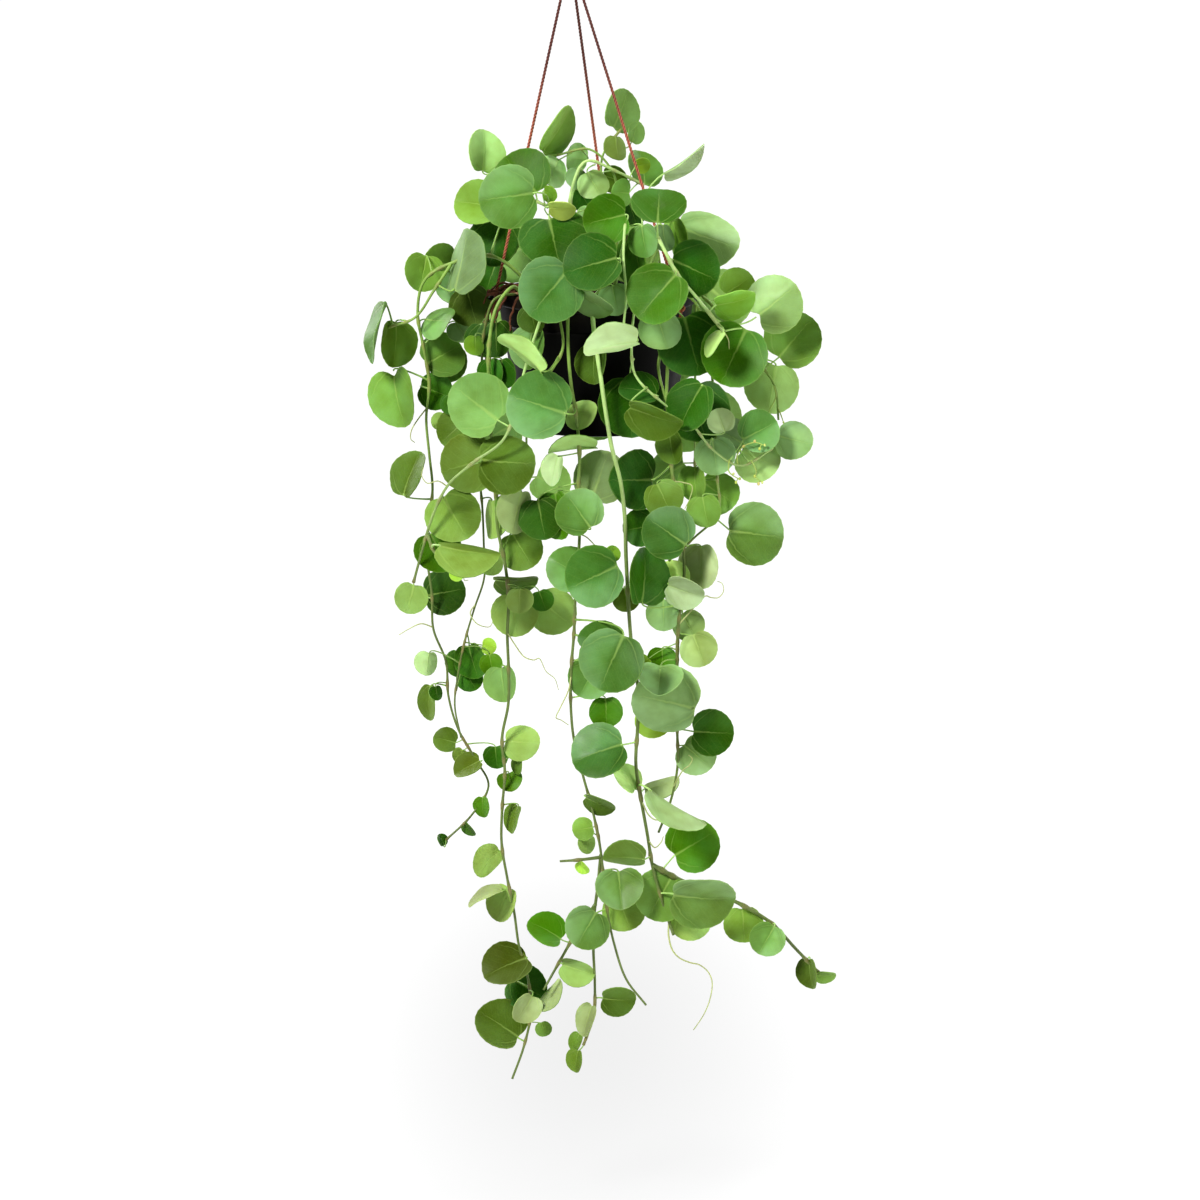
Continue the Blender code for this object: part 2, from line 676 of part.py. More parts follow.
def add_cords(collection, finish):
    made = []
    for side in EAR_BEARINGS:
        low, high, along = cord_ends(side)
        points = [low.lerp(high, step / (CORD_POINTS - 1)) for step in range(CORD_POINTS)]
        made.append(add_tube("cord_" + side, collection, points, [CORD_RADIUS] * CORD_POINTS, 2, finish))
        centre = low - along * (EAR_KNOT_RADIUS + GAP)
        made.append(add_knot("knot_" + side, collection, centre, EAR_KNOT_RADIUS, 8, finish))
    return made


def add_knot(name, collection, centre, radius, sides, finish):
    bm = bmesh.new()
    bmesh.ops.create_uvsphere(bm, u_segments=sides, v_segments=sides - 2, radius=radius)
    bmesh.ops.translate(bm, verts=bm.verts[:], vec=centre)
    return add_object(name, mesh_from(bm, name), collection, finish)


def add_top_knot(collection, finish):
    """The knot that the cords meet in, with a hole down its middle for the hook's shank."""
    knot = add_knot("knot_top", collection, Vector((0, 0, KNOT_Z)), KNOT_RADIUS, 14, finish)
    hole = new_collection("knot_hole", hidden=True)
    add_cylinder("shank_hole", hole, Vector((0, 0, KNOT_Z)), HOOK_WIRE_RADIUS + 2 * GAP, 4 * KNOT_RADIUS, 8)
    boolean(knot, "DIFFERENCE", hole)
    return knot


def add_hook(collection, finish):
    """A wire hook: a crook open to the right, and a straight shank that ends inside the knot."""
    wire = HOOK_CROOK_RADIUS + HOOK_WIRE_RADIUS
    centre_z = -HOOK_CROOK_RADIUS
    points = []
    for step in range(13):
        turn = math.radians(-35 + step * 19.58)
        points.append(Vector((wire * math.cos(turn), 0, centre_z + wire * math.sin(turn))))
    points.append(Vector((-wire * 0.72, 0, centre_z - wire * 0.93)))
    points.append(Vector((-wire * 0.25, 0, centre_z - wire * 1.25)))
    points.append(Vector((0, 0, centre_z - wire * 1.6)))
    points.append(Vector((0, 0, HOOK_END_Z)))
    wire_mesh = tube_mesh("hook", points, [HOOK_WIRE_RADIUS] * len(points), 2)
    return add_object("hook", mesh_from(wire_mesh, "hook"), collection, finish)


def smooth_route(points, steps=8):
    """A smooth curve through the points, as a dense list of points."""
    ends = [points[0] * 2 - points[1], *points, points[-1] * 2 - points[-2]]
    dense = []
    for a, b, c, d in zip(ends, ends[1:], ends[2:], ends[3:]):
        for step in range(steps):
            t = step / steps
            bend = (2 * a - 5 * b + 4 * c - d) * t * t + (3 * b - 3 * c + d - a) * t**3
            dense.append((2 * b + (c - a) * t + bend) * 0.5)
    return [*dense, points[-1]]


def spaced(points, spacing):
    """Points at even distances along a route, its ends kept."""
    lengths = [0.0]
    for first, second in zip(points, points[1:]):
        lengths.append(lengths[-1] + (second - first).length)
    count = max(2, round(lengths[-1] / spacing))
    result = []
    at = 0
    for number in range(count):
        wanted = lengths[-1] * number / count
        while lengths[at + 1] < wanted:
            at += 1
        share = (wanted - lengths[at]) / (lengths[at + 1] - lengths[at])
        result.append(points[at].lerp(points[at + 1], share))
    return [*result, points[-1]]


def nearest_on(route, point):
    """(distance, place along the route in points, place) of the route's nearest place."""
    best = None
    for number, (first, second) in enumerate(zip(route, route[1:])):
        edge = second - first
        share = min(1.0, max(0.0, (point - first).dot(edge) / edge.length_squared))
        place = first + edge * share
        distance = (place - point).length
        if best is None or distance < best[0]:
            best = (distance, number + share, place)
    return best


def place_at(route, along):
    along = min(max(along, 0.0), len(route) - 1.001)
    first = int(along)
    return route[first].lerp(route[first + 1], along - first)


def tube_faces(points, radii):
    """(corners, faces) of a square tube along the points, for testing what it touches."""
    corners, faces = [], []
    side = None
    for number, (point, radius) in enumerate(zip(points, radii)):
        before = points[max(number - 1, 0)]
        after = points[min(number + 1, len(points) - 1)]
        along = (after - before).normalized()
        side = (side or along.orthogonal()) - along * (side or along.orthogonal()).dot(along)
        side.normalize()
        other = along.cross(side)
        corners += [point + side * radius, point + other * radius, point - side * radius, point - other * radius]
        if number:
            start = 4 * (number - 1)
            faces += [(start + k, start + (k + 1) % 4, start + 4 + (k + 1) % 4, start + 4 + k) for k in range(4)]
    return corners, faces


class Obstacle:
    """A placed piece that later pieces keep clear of."""

    def __init__(self, owner, corners, faces):
        self.owner = owner
        self.tree = BVHTree.FromPolygons(corners, faces)
        self.low = [min(corner[axis] for corner in corners) for axis in range(3)]
        self.high = [max(corner[axis] for corner in corners) for axis in range(3)]

    def meets(self, other):
        for axis in range(3):
            if self.low[axis] > other.high[axis] or self.high[axis] < other.low[axis]:
                return False
        return bool(self.tree.overlap(other.tree))


def obstacle_of(bm, owner):
    corners = [vertex.co.copy() for vertex in bm.verts]
    bm.verts.index_update()
    return Obstacle(owner, corners, [[vertex.index for vertex in face.verts] for face in bm.faces])


def solid_obstacle(obj, owner):
    bm = bmesh.new()
    bm.from_mesh(baked(obj))
    result = obstacle_of(bm, owner)
    bm.free()
    return result


def settle_stem(name, route, radii, obstacles):
    """The route with its points moved along the line of sight until it is clear of the obstacles."""
    padded = [radius + 2 * CLEARANCE for radius in radii]
    shifts = [0.0] * len(route)
    outward = 1.0 if route[-1].y < 0 else -1.0
    for _ in range(60):
        moved = [point + VIEW_TOWARDS * shift for point, shift in zip(route, shifts)]
        corners, faces = tube_faces(moved, padded)
        tube = Obstacle(name, corners, faces)
        hits = {}
        for obstacle in obstacles:
            if obstacle.owner in (name, "soil") or not tube.meets(obstacle):
                continue
            for face, _ in tube.tree.overlap(obstacle.tree):
                segment = face // 4
                place = (moved[segment] + moved[segment + 1]) * 0.5
                found = obstacle.tree.find_nearest(place)[0]
                ahead = (place - found).dot(VIEW_TOWARDS)
                hits[segment] = outward if obstacle.owner == "pot" else math.copysign(1, ahead)
        hits.pop(0, None)
        if not hits:
            break
        for segment, sign in hits.items():
            for number, share in ((segment - 1, 0.4), (segment, 1.0), (segment + 1, 1.0), (segment + 2, 0.4)):
                if 1 < number < len(shifts):
                    shifts[number] += sign * share * 0.0012
    return [point + VIEW_TOWARDS * shift for point, shift in zip(route, shifts)]


def outline(turn, size):
    """A leaf's edge at an angle from its tip: round, with a shallow notch where the stalk joins."""
    notch = LEAF_NOTCH * math.exp(-(((math.pi - abs(turn)) / LEAF_NOTCH_WIDTH) ** 2))
    radius = LEAF_RADIUS * size * (1 - notch)
    return LEAF_BREADTH * radius * math.sin(turn), LEAF_CENTRE * size + radius * math.cos(turn)


def rise(across, along, size):
    """The blade's height over its flat: folded up from the midrib, and curled down to the tip."""
    return LEAF_FOLD * abs(across) - LEAF_CURL * size * (along / size - 0.2) ** 2


def blade_points(size):
    if size > LARGE_LEAF:
        return 9
    return 8 if size > SMALL_LEAF else 7


def leaf_axes(clock, pitch, roll):
    """The blade's own right, forward and up directions."""
    clock, pitch, roll = (math.radians(angle) for angle in (clock, pitch, roll))
    along = VIEW_RIGHT * math.sin(clock) + VIEW_UP * math.cos(clock)
    across = VIEW_RIGHT * math.cos(clock) - VIEW_UP * math.sin(clock)
    tip = along * math.cos(pitch) + VIEW_TOWARDS * math.sin(pitch)
    face = VIEW_TOWARDS * math.cos(pitch) - along * math.sin(pitch)
    return across * math.cos(roll) - face * math.sin(roll), tip, face * math.cos(roll) + across * math.sin(roll)


def petiole_path(base, tip_way, joint):
    """A leaf stalk's points, from the blade to the middle of the stem."""
    length = (joint - base).length
    onward = -tip_way.dot(joint - base) / length
    if onward < 0.25:
        return [base, base - tip_way * max(length * 0.35, 0.006), joint]
    if length < STRAIGHT_PETIOLE:
        return [base, joint]
    bend = base - tip_way * length * 0.45
    return [base, base * 0.25 + bend * 0.5 + joint * 0.25, joint]


def leaf_solid(size, axes, centre, joint, extra=0.0):
    """One leaf as a closed solid: the blade, and its stalk drawn out of the blade's base."""
    side, tip, face = axes
    count = blade_points(size)
    half = PETIOLE_HALF + extra
    bm = bmesh.new()
    bmesh.ops.create_circle(bm, cap_ends=True, cap_tris=True, segments=count, radius=1)
    edge_turn = math.pi - half / (LEAF_RADIUS * size * (1 - LEAF_NOTCH))
    ring = sorted((v for v in bm.verts if v.co.length > 0.5), key=lambda v: math.atan2(v.co.y, v.co.x))
    for number, vertex in enumerate(ring):
        across, along = outline(edge_turn - 2 * edge_turn * number / (count - 1), size)
        vertex.co = (across, along, rise(across, along, size))
    for vertex in set(bm.verts) - set(ring):
        vertex.co = (0, LEAF_CENTRE * size, rise(0, LEAF_CENTRE * size, size))
    bmesh.ops.recalc_face_normals(bm, faces=bm.faces[:])
    bmesh.ops.solidify(bm, geom=bm.faces[:], thickness=LEAF_THICKNESS + 2 * extra)
    bmesh.ops.translate(bm, verts=bm.verts[:], vec=(0, 0, extra))
    rim = [face for face in bm.faces if len(face.verts) == 4]
    base = min(rim, key=lambda face: face.calc_center_median().length)
    place = Matrix((side, tip, face)).transposed().to_4x4()
    place.translation = centre - tip * LEAF_CENTRE * size
    bmesh.ops.transform(bm, matrix=place, verts=bm.verts[:])
    start = base.calc_center_median()
    before = -tip
    right, up = side.copy(), face.copy()
    points = petiole_path(start, tip, joint)
    for number, point in enumerate(points[1:], 1):
        after = points[min(number + 1, len(points) - 1)] - points[number - 1]
        turn = before.rotation_difference(after.normalized())
        middle = base.calc_center_median()
        corners = [(v.co - middle).dot(right) for v in base.verts], [(v.co - middle).dot(up) for v in base.verts]
        right.rotate(turn)
        up.rotate(turn)
        base = bmesh.ops.extrude_discrete_faces(bm, faces=[base])["faces"][0]
        for vertex, across, upward in zip(base.verts, *corners):
            vertex.co = point + right * math.copysign(half, across) + up * math.copysign(half, upward)
        before = after.normalized()
    bmesh.ops.recalc_face_normals(bm, faces=bm.faces[:])
    return bm


def settle_leaf(name, stems, leaf, obstacles):
    """The leaf's solid where it is clear of the other vines, moved along the line of sight as needed.

    Nothing is given where no place is clear.
    """
    across, drop, size, clock, pitch, roll, forward = leaf
    size *= MM
    axes = leaf_axes(clock, pitch, roll)
    shifts = [0]
    for step in range(3, 64, 3):
        shifts += [-step, step]
    best = None
    for shift in shifts:
        centre = seen_at(across, drop, forward + shift)
        base = centre - axes[1] * LEAF_CENTRE * size
        stem = min(stems, key=lambda route: nearest_on(route, base)[0])
        along = nearest_on(stem, base)[1]
        for slide in (0.0, -0.45, 0.45):
            joint = place_at(stem, along + slide)
            trial = leaf_solid(size, axes, centre, joint, CLEARANCE)
            tested = obstacle_of(trial, name)
            trial.free()
            score = abs(shift) + 5 * abs(slide)
            for obstacle in obstacles:
                if tested.meets(obstacle):
                    score += 60 if obstacle.owner == name else 10000
            if best is None or score < best[0]:
                best = (score, centre, joint)
            if score < abs(shift) + 6:
                break
        if best[0] < abs(shift) + 6:
            break
    if best[0] >= 10000:
        return None
    return leaf_solid(size, axes, best[1], best[2])


def stem_radii(count, radius):
    return [radius * (1 - (1 - STEM_TIP_SHARE) * number / (count - 1)) for number in range(count)]


def vine_routes(vine):
    """The vine's stems as evenly spaced points, the first one rising out of the soil."""
    root = on_soil(*vine["root"], -ROOT_DEPTH)
    collar = on_soil(*vine["root"], 0.004)
    stems = []
    for number, route in enumerate(vine["routes"]):
        points = [seen_at(*point) for point in route]
        if number == 0:
            dense = smooth_route([root, collar, *points])[8:]
            stems.append([root, *spaced(dense, STEM_SPACING)])
        else:
            points[0] = min((nearest_on(stem, points[0]) for stem in stems), key=lambda found: found[0])[2]
            stems.append(spaced(smooth_route(points), STEM_SPACING))
    return stems


def back_vine_route(bearing, length):
    """A stem that rises from the soil, tops the rim at the back and hangs behind the pot."""
    bearing += 180
    crest_radius, crest_height = BACK_CREST
    hang = [
        at_bearing(bearing, BACK_HANG_RADIUS, RIM_Z - length * share)
        for share in (0.08, 0.25, 0.5, 0.75, 1.0)
    ]
    root = at_bearing(bearing, BACK_ROOT_RADIUS, SOIL_Z - ROOT_DEPTH)
    collar = at_bearing(bearing, BACK_ROOT_RADIUS, SOIL_Z + 0.004)
    crest = at_bearing(bearing, crest_radius, RIM_Z + crest_height)
    over = at_bearing(bearing, BACK_HANG_RADIUS - 0.003, RIM_Z + 0.018)
    dense = smooth_route([root, collar, crest, over, *hang])[8:]
    return [root, *spaced(dense, STEM_SPACING)]


def reading_of(point):
    """The inverse of seen_at: how a point reads from the front, in millimetres."""
    eye = VIEW_POINT + VIEW_DISTANCE * VIEW_TOWARDS
    ray = point - eye
    ray *= -VIEW_DISTANCE / ray.dot(VIEW_TOWARDS)
    place = eye + ray - VIEW_POINT
    return VIEW_READING[0] + place.dot(VIEW_RIGHT) / MM, VIEW_READING[1] - place.dot(VIEW_UP) / MM, -point.y / MM


def back_vine_leaves(stem, count, draw):
    """Leaves in turn to the left and right of a back stem, facing away from the pot."""
    leaves = []
    largest, smallest = BACK_LEAF_SIZES
    for number in range(count):
        share = (number + 0.5) / count
        size = (largest + (smallest - largest) * share) * draw.uniform(0.9, 1.1)
        joint = place_at(stem, 2 + share * (len(stem) - 2.5))
        side = 1 if number % 2 else -1
        across, drop, forward = reading_of(joint)
        clock = 180 - side * draw.uniform(50, 80)
        reach = 0.62 * size / MM
        across += reach * math.sin(math.radians(clock))
        drop -= reach * math.cos(math.radians(clock))
        roll = 180 + draw.uniform(-25, 25)
        pitch = draw.uniform(-25, 5)
        leaves.append((across, drop, size / MM, clock, pitch, roll, forward - draw.uniform(2, 14)))
    return leaves


def grow_vines(obstacles):
    """Each vine's stems and leaf solids, all clear of each other: stems first, then front leaves first."""
    grown = {}
    draw = random.Random(5)
    waiting = []
    for name, vine in VINES.items():
        stems = vine_routes(vine)
        waiting += [(name, leaf) for leaf in vine["leaves"]]
        grown[name] = dict(stems=stems, radius=vine["radius"] * MM, leaves=[])
    waiting.sort(key=lambda entry: -entry[1][6])
    for name, (bearing, length, count) in BACK_VINES.items():
        stem = back_vine_route(bearing, length)
        waiting += [(name, leaf) for leaf in back_vine_leaves(stem, count, draw)]
        grown[name] = dict(stems=[stem], radius=BACK_STEM_RADIUS, leaves=[])
    for name, vine in grown.items():
        for number, stem in enumerate(vine["stems"]):
            radii = stem_radii(len(stem), vine["radius"])
            if number:
                stem[0] = min((nearest_on(s, stem[0]) for s in vine["stems"][:number]), key=lambda f: f[0])[2]
            vine["stems"][number] = settle_stem(name, stem, radii, obstacles)
            obstacles.append(Obstacle(name, *tube_faces(vine["stems"][number], radii)))
    stem_trees = [obstacle for obstacle in obstacles if obstacle.owner in grown]
    for name, leaf in waiting:
        others = [o for o in obstacles if o.owner != name or o not in stem_trees]
        solid = settle_leaf(name, grown[name]["stems"], leaf, others)
        if solid:
            grown[name]["leaves"].append(solid)
            obstacles.append(obstacle_of(solid, name))
    return grown


def without_scraps(mesh, name):
    """The mesh's largest body, without the slivers that joining tubes can leave."""
    bm = bmesh.new()
    bm.from_mesh(mesh)
    bmesh.ops.dissolve_degenerate(bm, dist=1e-6, edges=bm.edges[:])
    waiting = set(bm.verts)
    bodies = []
    while waiting:
        body = {waiting.pop()}
        edge = set(body)
        while edge:
            edge = {e.other_vert(v) for v in edge for e in v.link_edges} - body
            body |= edge
        waiting -= body
        bodies.append(body)
    largest = max(bodies, key=len)
    bmesh.ops.delete(bm, geom=[v for v in bm.verts if v not in largest])
    return mesh_from(bm, name)


def add_vine(name, vine, collection, finish):
    """One vine as one body: its stems, stalks and blades joined."""
    pieces = new_collection(name + "_pieces", hidden=True)
    stems = []
    for number, stem in enumerate(vine["stems"]):
        radii = stem_radii(len(stem), vine["radius"])
        resolution = 1 if vine["radius"] > 0.0016 else 0
        stems.append(mesh_from(tube_mesh(name, stem, radii, resolution), f"{name}_stem_{number}"))
    body = add_object(name, stems[0], collection, finish)
    for number, mesh in enumerate(stems[1:]):
        add_object(f"{name}_branch_{number}", mesh, pieces)
    for number, solid in enumerate(vine["leaves"]):
        add_object(f"{name}_leaf_{number}", mesh_from(solid, f"{name}_leaf_{number}"), pieces)
    union = boolean(body, "UNION", pieces)
    union.solver = "MANIFOLD"
    body.data = without_scraps(baked(body), name)
    body.modifiers.clear()
    for piece in list(pieces.objects):
        bpy.data.objects.remove(piece)
    bpy.data.collections.remove(pieces)
    return body


def main():
    for obj in list(bpy.data.objects):
        bpy.data.objects.remove(obj)
    plant = new_collection("potted_grape_ivy")
    green = material("vine_green", (0.10, 0.26, 0.03), 0.42)
    black = material("pot_black", (0.012, 0.010, 0.010), 0.32)
    brown = material("soil_brown", (0.05, 0.03, 0.02), 0.95)
    rust = material("cord_rust", (0.30, 0.09, 0.05), 0.8)
    steel = material("hook_steel", (0.55, 0.55, 0.55), 0.3, 1.0)
    pot = add_pot(plant, black)
    cords = add_cords(plant, rust)
    cords.append(add_top_knot(plant, rust))
    add_hook(plant, steel)
    soil = add_soil(plant, brown)
    obstacles = [solid_obstacle(pot, "pot"), solid_obstacle(soil, "soil")]
    obstacles += [solid_obstacle(cord, "cord") for cord in cords]
    grown = grow_vines(obstacles)
    cut_root_holes(soil, [(vine["stems"][0][0], vine["radius"]) for vine in grown.values()])
    for name, vine in grown.items():
        add_vine(name, vine, plant, green)


main()
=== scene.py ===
"""The looks of the potted grape ivy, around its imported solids.

Metres, +Z up. The origin is the inside of the hook's crook and the front faces -Y. Places on the
plant are written in millimetres, as seen from the front: right of the pot's axis, how far down,
and how far before the axis.
"""

import math
import random

import bmesh
import bpy
import numpy as np
from mathutils import Matrix, Vector, noise
from mathutils.bvhtree import BVHTree


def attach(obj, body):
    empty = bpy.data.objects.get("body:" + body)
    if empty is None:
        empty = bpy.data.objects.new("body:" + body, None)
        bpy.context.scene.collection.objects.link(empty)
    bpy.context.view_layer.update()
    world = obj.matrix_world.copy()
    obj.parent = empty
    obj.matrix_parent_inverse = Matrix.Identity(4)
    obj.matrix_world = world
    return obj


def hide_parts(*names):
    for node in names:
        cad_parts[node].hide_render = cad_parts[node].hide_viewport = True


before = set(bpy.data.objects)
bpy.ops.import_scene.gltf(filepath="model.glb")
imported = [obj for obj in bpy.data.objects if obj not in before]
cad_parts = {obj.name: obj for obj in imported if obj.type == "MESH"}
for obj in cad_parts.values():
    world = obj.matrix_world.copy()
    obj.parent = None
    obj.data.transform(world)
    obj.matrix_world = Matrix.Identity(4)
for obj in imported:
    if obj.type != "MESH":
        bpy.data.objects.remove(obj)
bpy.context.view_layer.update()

MM = 0.001
UP = Vector((0, 0, 1))

# Pot
POT_AXIS_X = 0.020
RIM_Z = -0.310
POT_HEIGHT = 0.108
RIM_RADIUS = 0.080
RIM_LIP_HEIGHT = 0.009
WALL_RADIUS = 0.0765
BASE_RADIUS = 0.061
WALL = 0.0016
POT_SIDES = 96
DRAIN_RADIUS = 0.005
DRAIN_RING_RADIUS = 0.040
DRAIN_COUNT = 4
SOIL_Z = RIM_Z - 0.012
SOIL_RADIUS = 0.0735
SOIL_SIDES = 32
ROOT_DEPTH = 0.013

# Ears on the rim, by their bearing from the front
EAR_BEARINGS = {"left": -70, "right": 50, "back": 170}
EAR_DISTANCE = 0.084
EAR_THICKNESS = 0.003
EAR_RING_RADIUS = 0.0041
EAR_RING_WIRE = 0.0014

# Cords, knots and hook
CORD_RADIUS = 0.00125
CORD_POINTS = 16
STRAND_TURN = 0.0085
KNOT_Z = -0.051
KNOT_RADIUS = 0.0070
EAR_KNOT_RADIUS = 0.0032
GAP = 0.0003
HOOK_WIRE_RADIUS = 0.0015
HOOK_CROOK_RADIUS = 0.012
CROOK_FROM, CROOK_STEP = -35, 19.58
HOOK_END_Z = -0.055

# The view that the plant's places are read in, and its camera's lens in millimetres
VIEW_DISTANCE = 3.2
VIEW_LENS = 120
VIEW_SENSOR = 36
VIEW_TILT = math.radians(11)
VIEW_POINT = Vector((POT_AXIS_X + 0.0032, 0.0, -0.559))
VIEW_READING = (3.2, 540.0)
VIEW_RIGHT = Vector((1.0, 0.0, 0.0))
VIEW_UP = Vector((0.0, math.sin(VIEW_TILT), math.cos(VIEW_TILT)))
VIEW_TOWARDS = Vector((0.0, -math.cos(VIEW_TILT), math.sin(VIEW_TILT)))

# Stems and leaves
STEM_SPACING = 0.028
STEM_TIP_SHARE = 0.7
LEAF_CENTRE = 0.42
LEAF_RADIUS = 0.50
LEAF_BREADTH = 1.03
LEAF_NOTCH = 0.22
LEAF_NOTCH_WIDTH = 0.38
LEAF_THICKNESS = 0.0009
LEAF_FOLD = 0.24
LEAF_CURL = 0.14
PETIOLE_HALF = 0.00062
STRAIGHT_PETIOLE = 0.020
LARGE_LEAF = 0.040
SMALL_LEAF = 0.031
CLEARANCE = 0.0004
COLLAR_HEIGHT = 0.004

# How stems and leaves find a clear place along the line of sight, in tries, metres and millimetres
STEM_TRIES = 60
STEM_NUDGE = 0.0012
LEAF_SHIFT_STEP = 3
LEAF_SHIFT_MOST = 63
JOINT_SLIDES = (0.0, -0.45, 0.45)
SLIDE_COST = 5
OWN_TOUCH_COST = 60
OTHER_TOUCH_COST = 10000
GOOD_ENOUGH = 6

# Leaf colours by letter, as the side that is seen from the front looks in daylight, in sRGB. The
# leaves of LOWER_SHOWN turn their duller lower side to the front.
TONES = {
    "D": (38, 88, 2),
    "V": (62, 112, 2),
    "M": (110, 148, 60),
    "B": (92, 134, 58),
    "G": (132, 166, 100),
    "P": (174, 200, 146),
    "S": (134, 169, 86),
    "K": (134, 158, 104),
    "L": (174, 212, 126),
    "W": (200, 246, 168),
    "N": (50, 74, 16),
    "O": (76, 104, 28),
    "T": (66, 112, 40),
    "U": (100, 130, 54),
    "Y": (126, 168, 54),
    "E": (176, 194, 92),
}
LOWER_SHOWN = "SKLWU"
HIDDEN_LOWER = (146, 184, 106)
HIDDEN_UPPER = (66, 120, 26)

# The shine of the leaves by letter, which sets their coat, the painted shade in their vein valleys
# and a painted reflection on one half of each blade, and the cool colour of that painted reflection
GLOSS_AND_PAINTED_SHEEN = {"B": 0.26, "G": 0.22, "P": 0.20, "T": 0.24, "V": 0.06, "D": 0.04}
LEAST_GLOSS = 0.05
PAINTED_SHEEN_COLOUR = (168, 200, 164)

# Painted light: leaves are painted lighter lower down, between two drops, by these shares of red,
# green and blue
LOW_PAINTED_LIGHT = (0.42, 0.28, 0.36)
LOW_FROM, LOW_TO = 330, 650

STEM_COLOURS = {
    "pale": (188, 220, 140),
    "green": (136, 168, 80),
    "dark": (106, 128, 58),
}
STEM_FOOT_COLOUR = (104, 122, 62)
STEM_FOOT_FROM = RIM_Z - 0.04
STEM_FOOT_DEPTH = 0.18
STEM_KINDS = {
    "crown_left": "pale",
    "arch_pale": "pale",
    "vine_left_pale": "pale",
    "vine_right_front": "pale",
    "vine_centre_pale": "pale",
    "vine_centre_thick": "pale",
    "vine_right_low": "pale",
    "vine_left_thin": "dark",
    "vine_left_long": "green",
}
STEM_SWELLS = {"vine_centre_pale": 1.35, "vine_right_front": 1.25, "vine_left_pale": 0.95}
STEM_SWELL = 1.12
STEM_END = 0.66
STEM_TAPER = 0.65
BACK_TONES = "DDMMOVB"
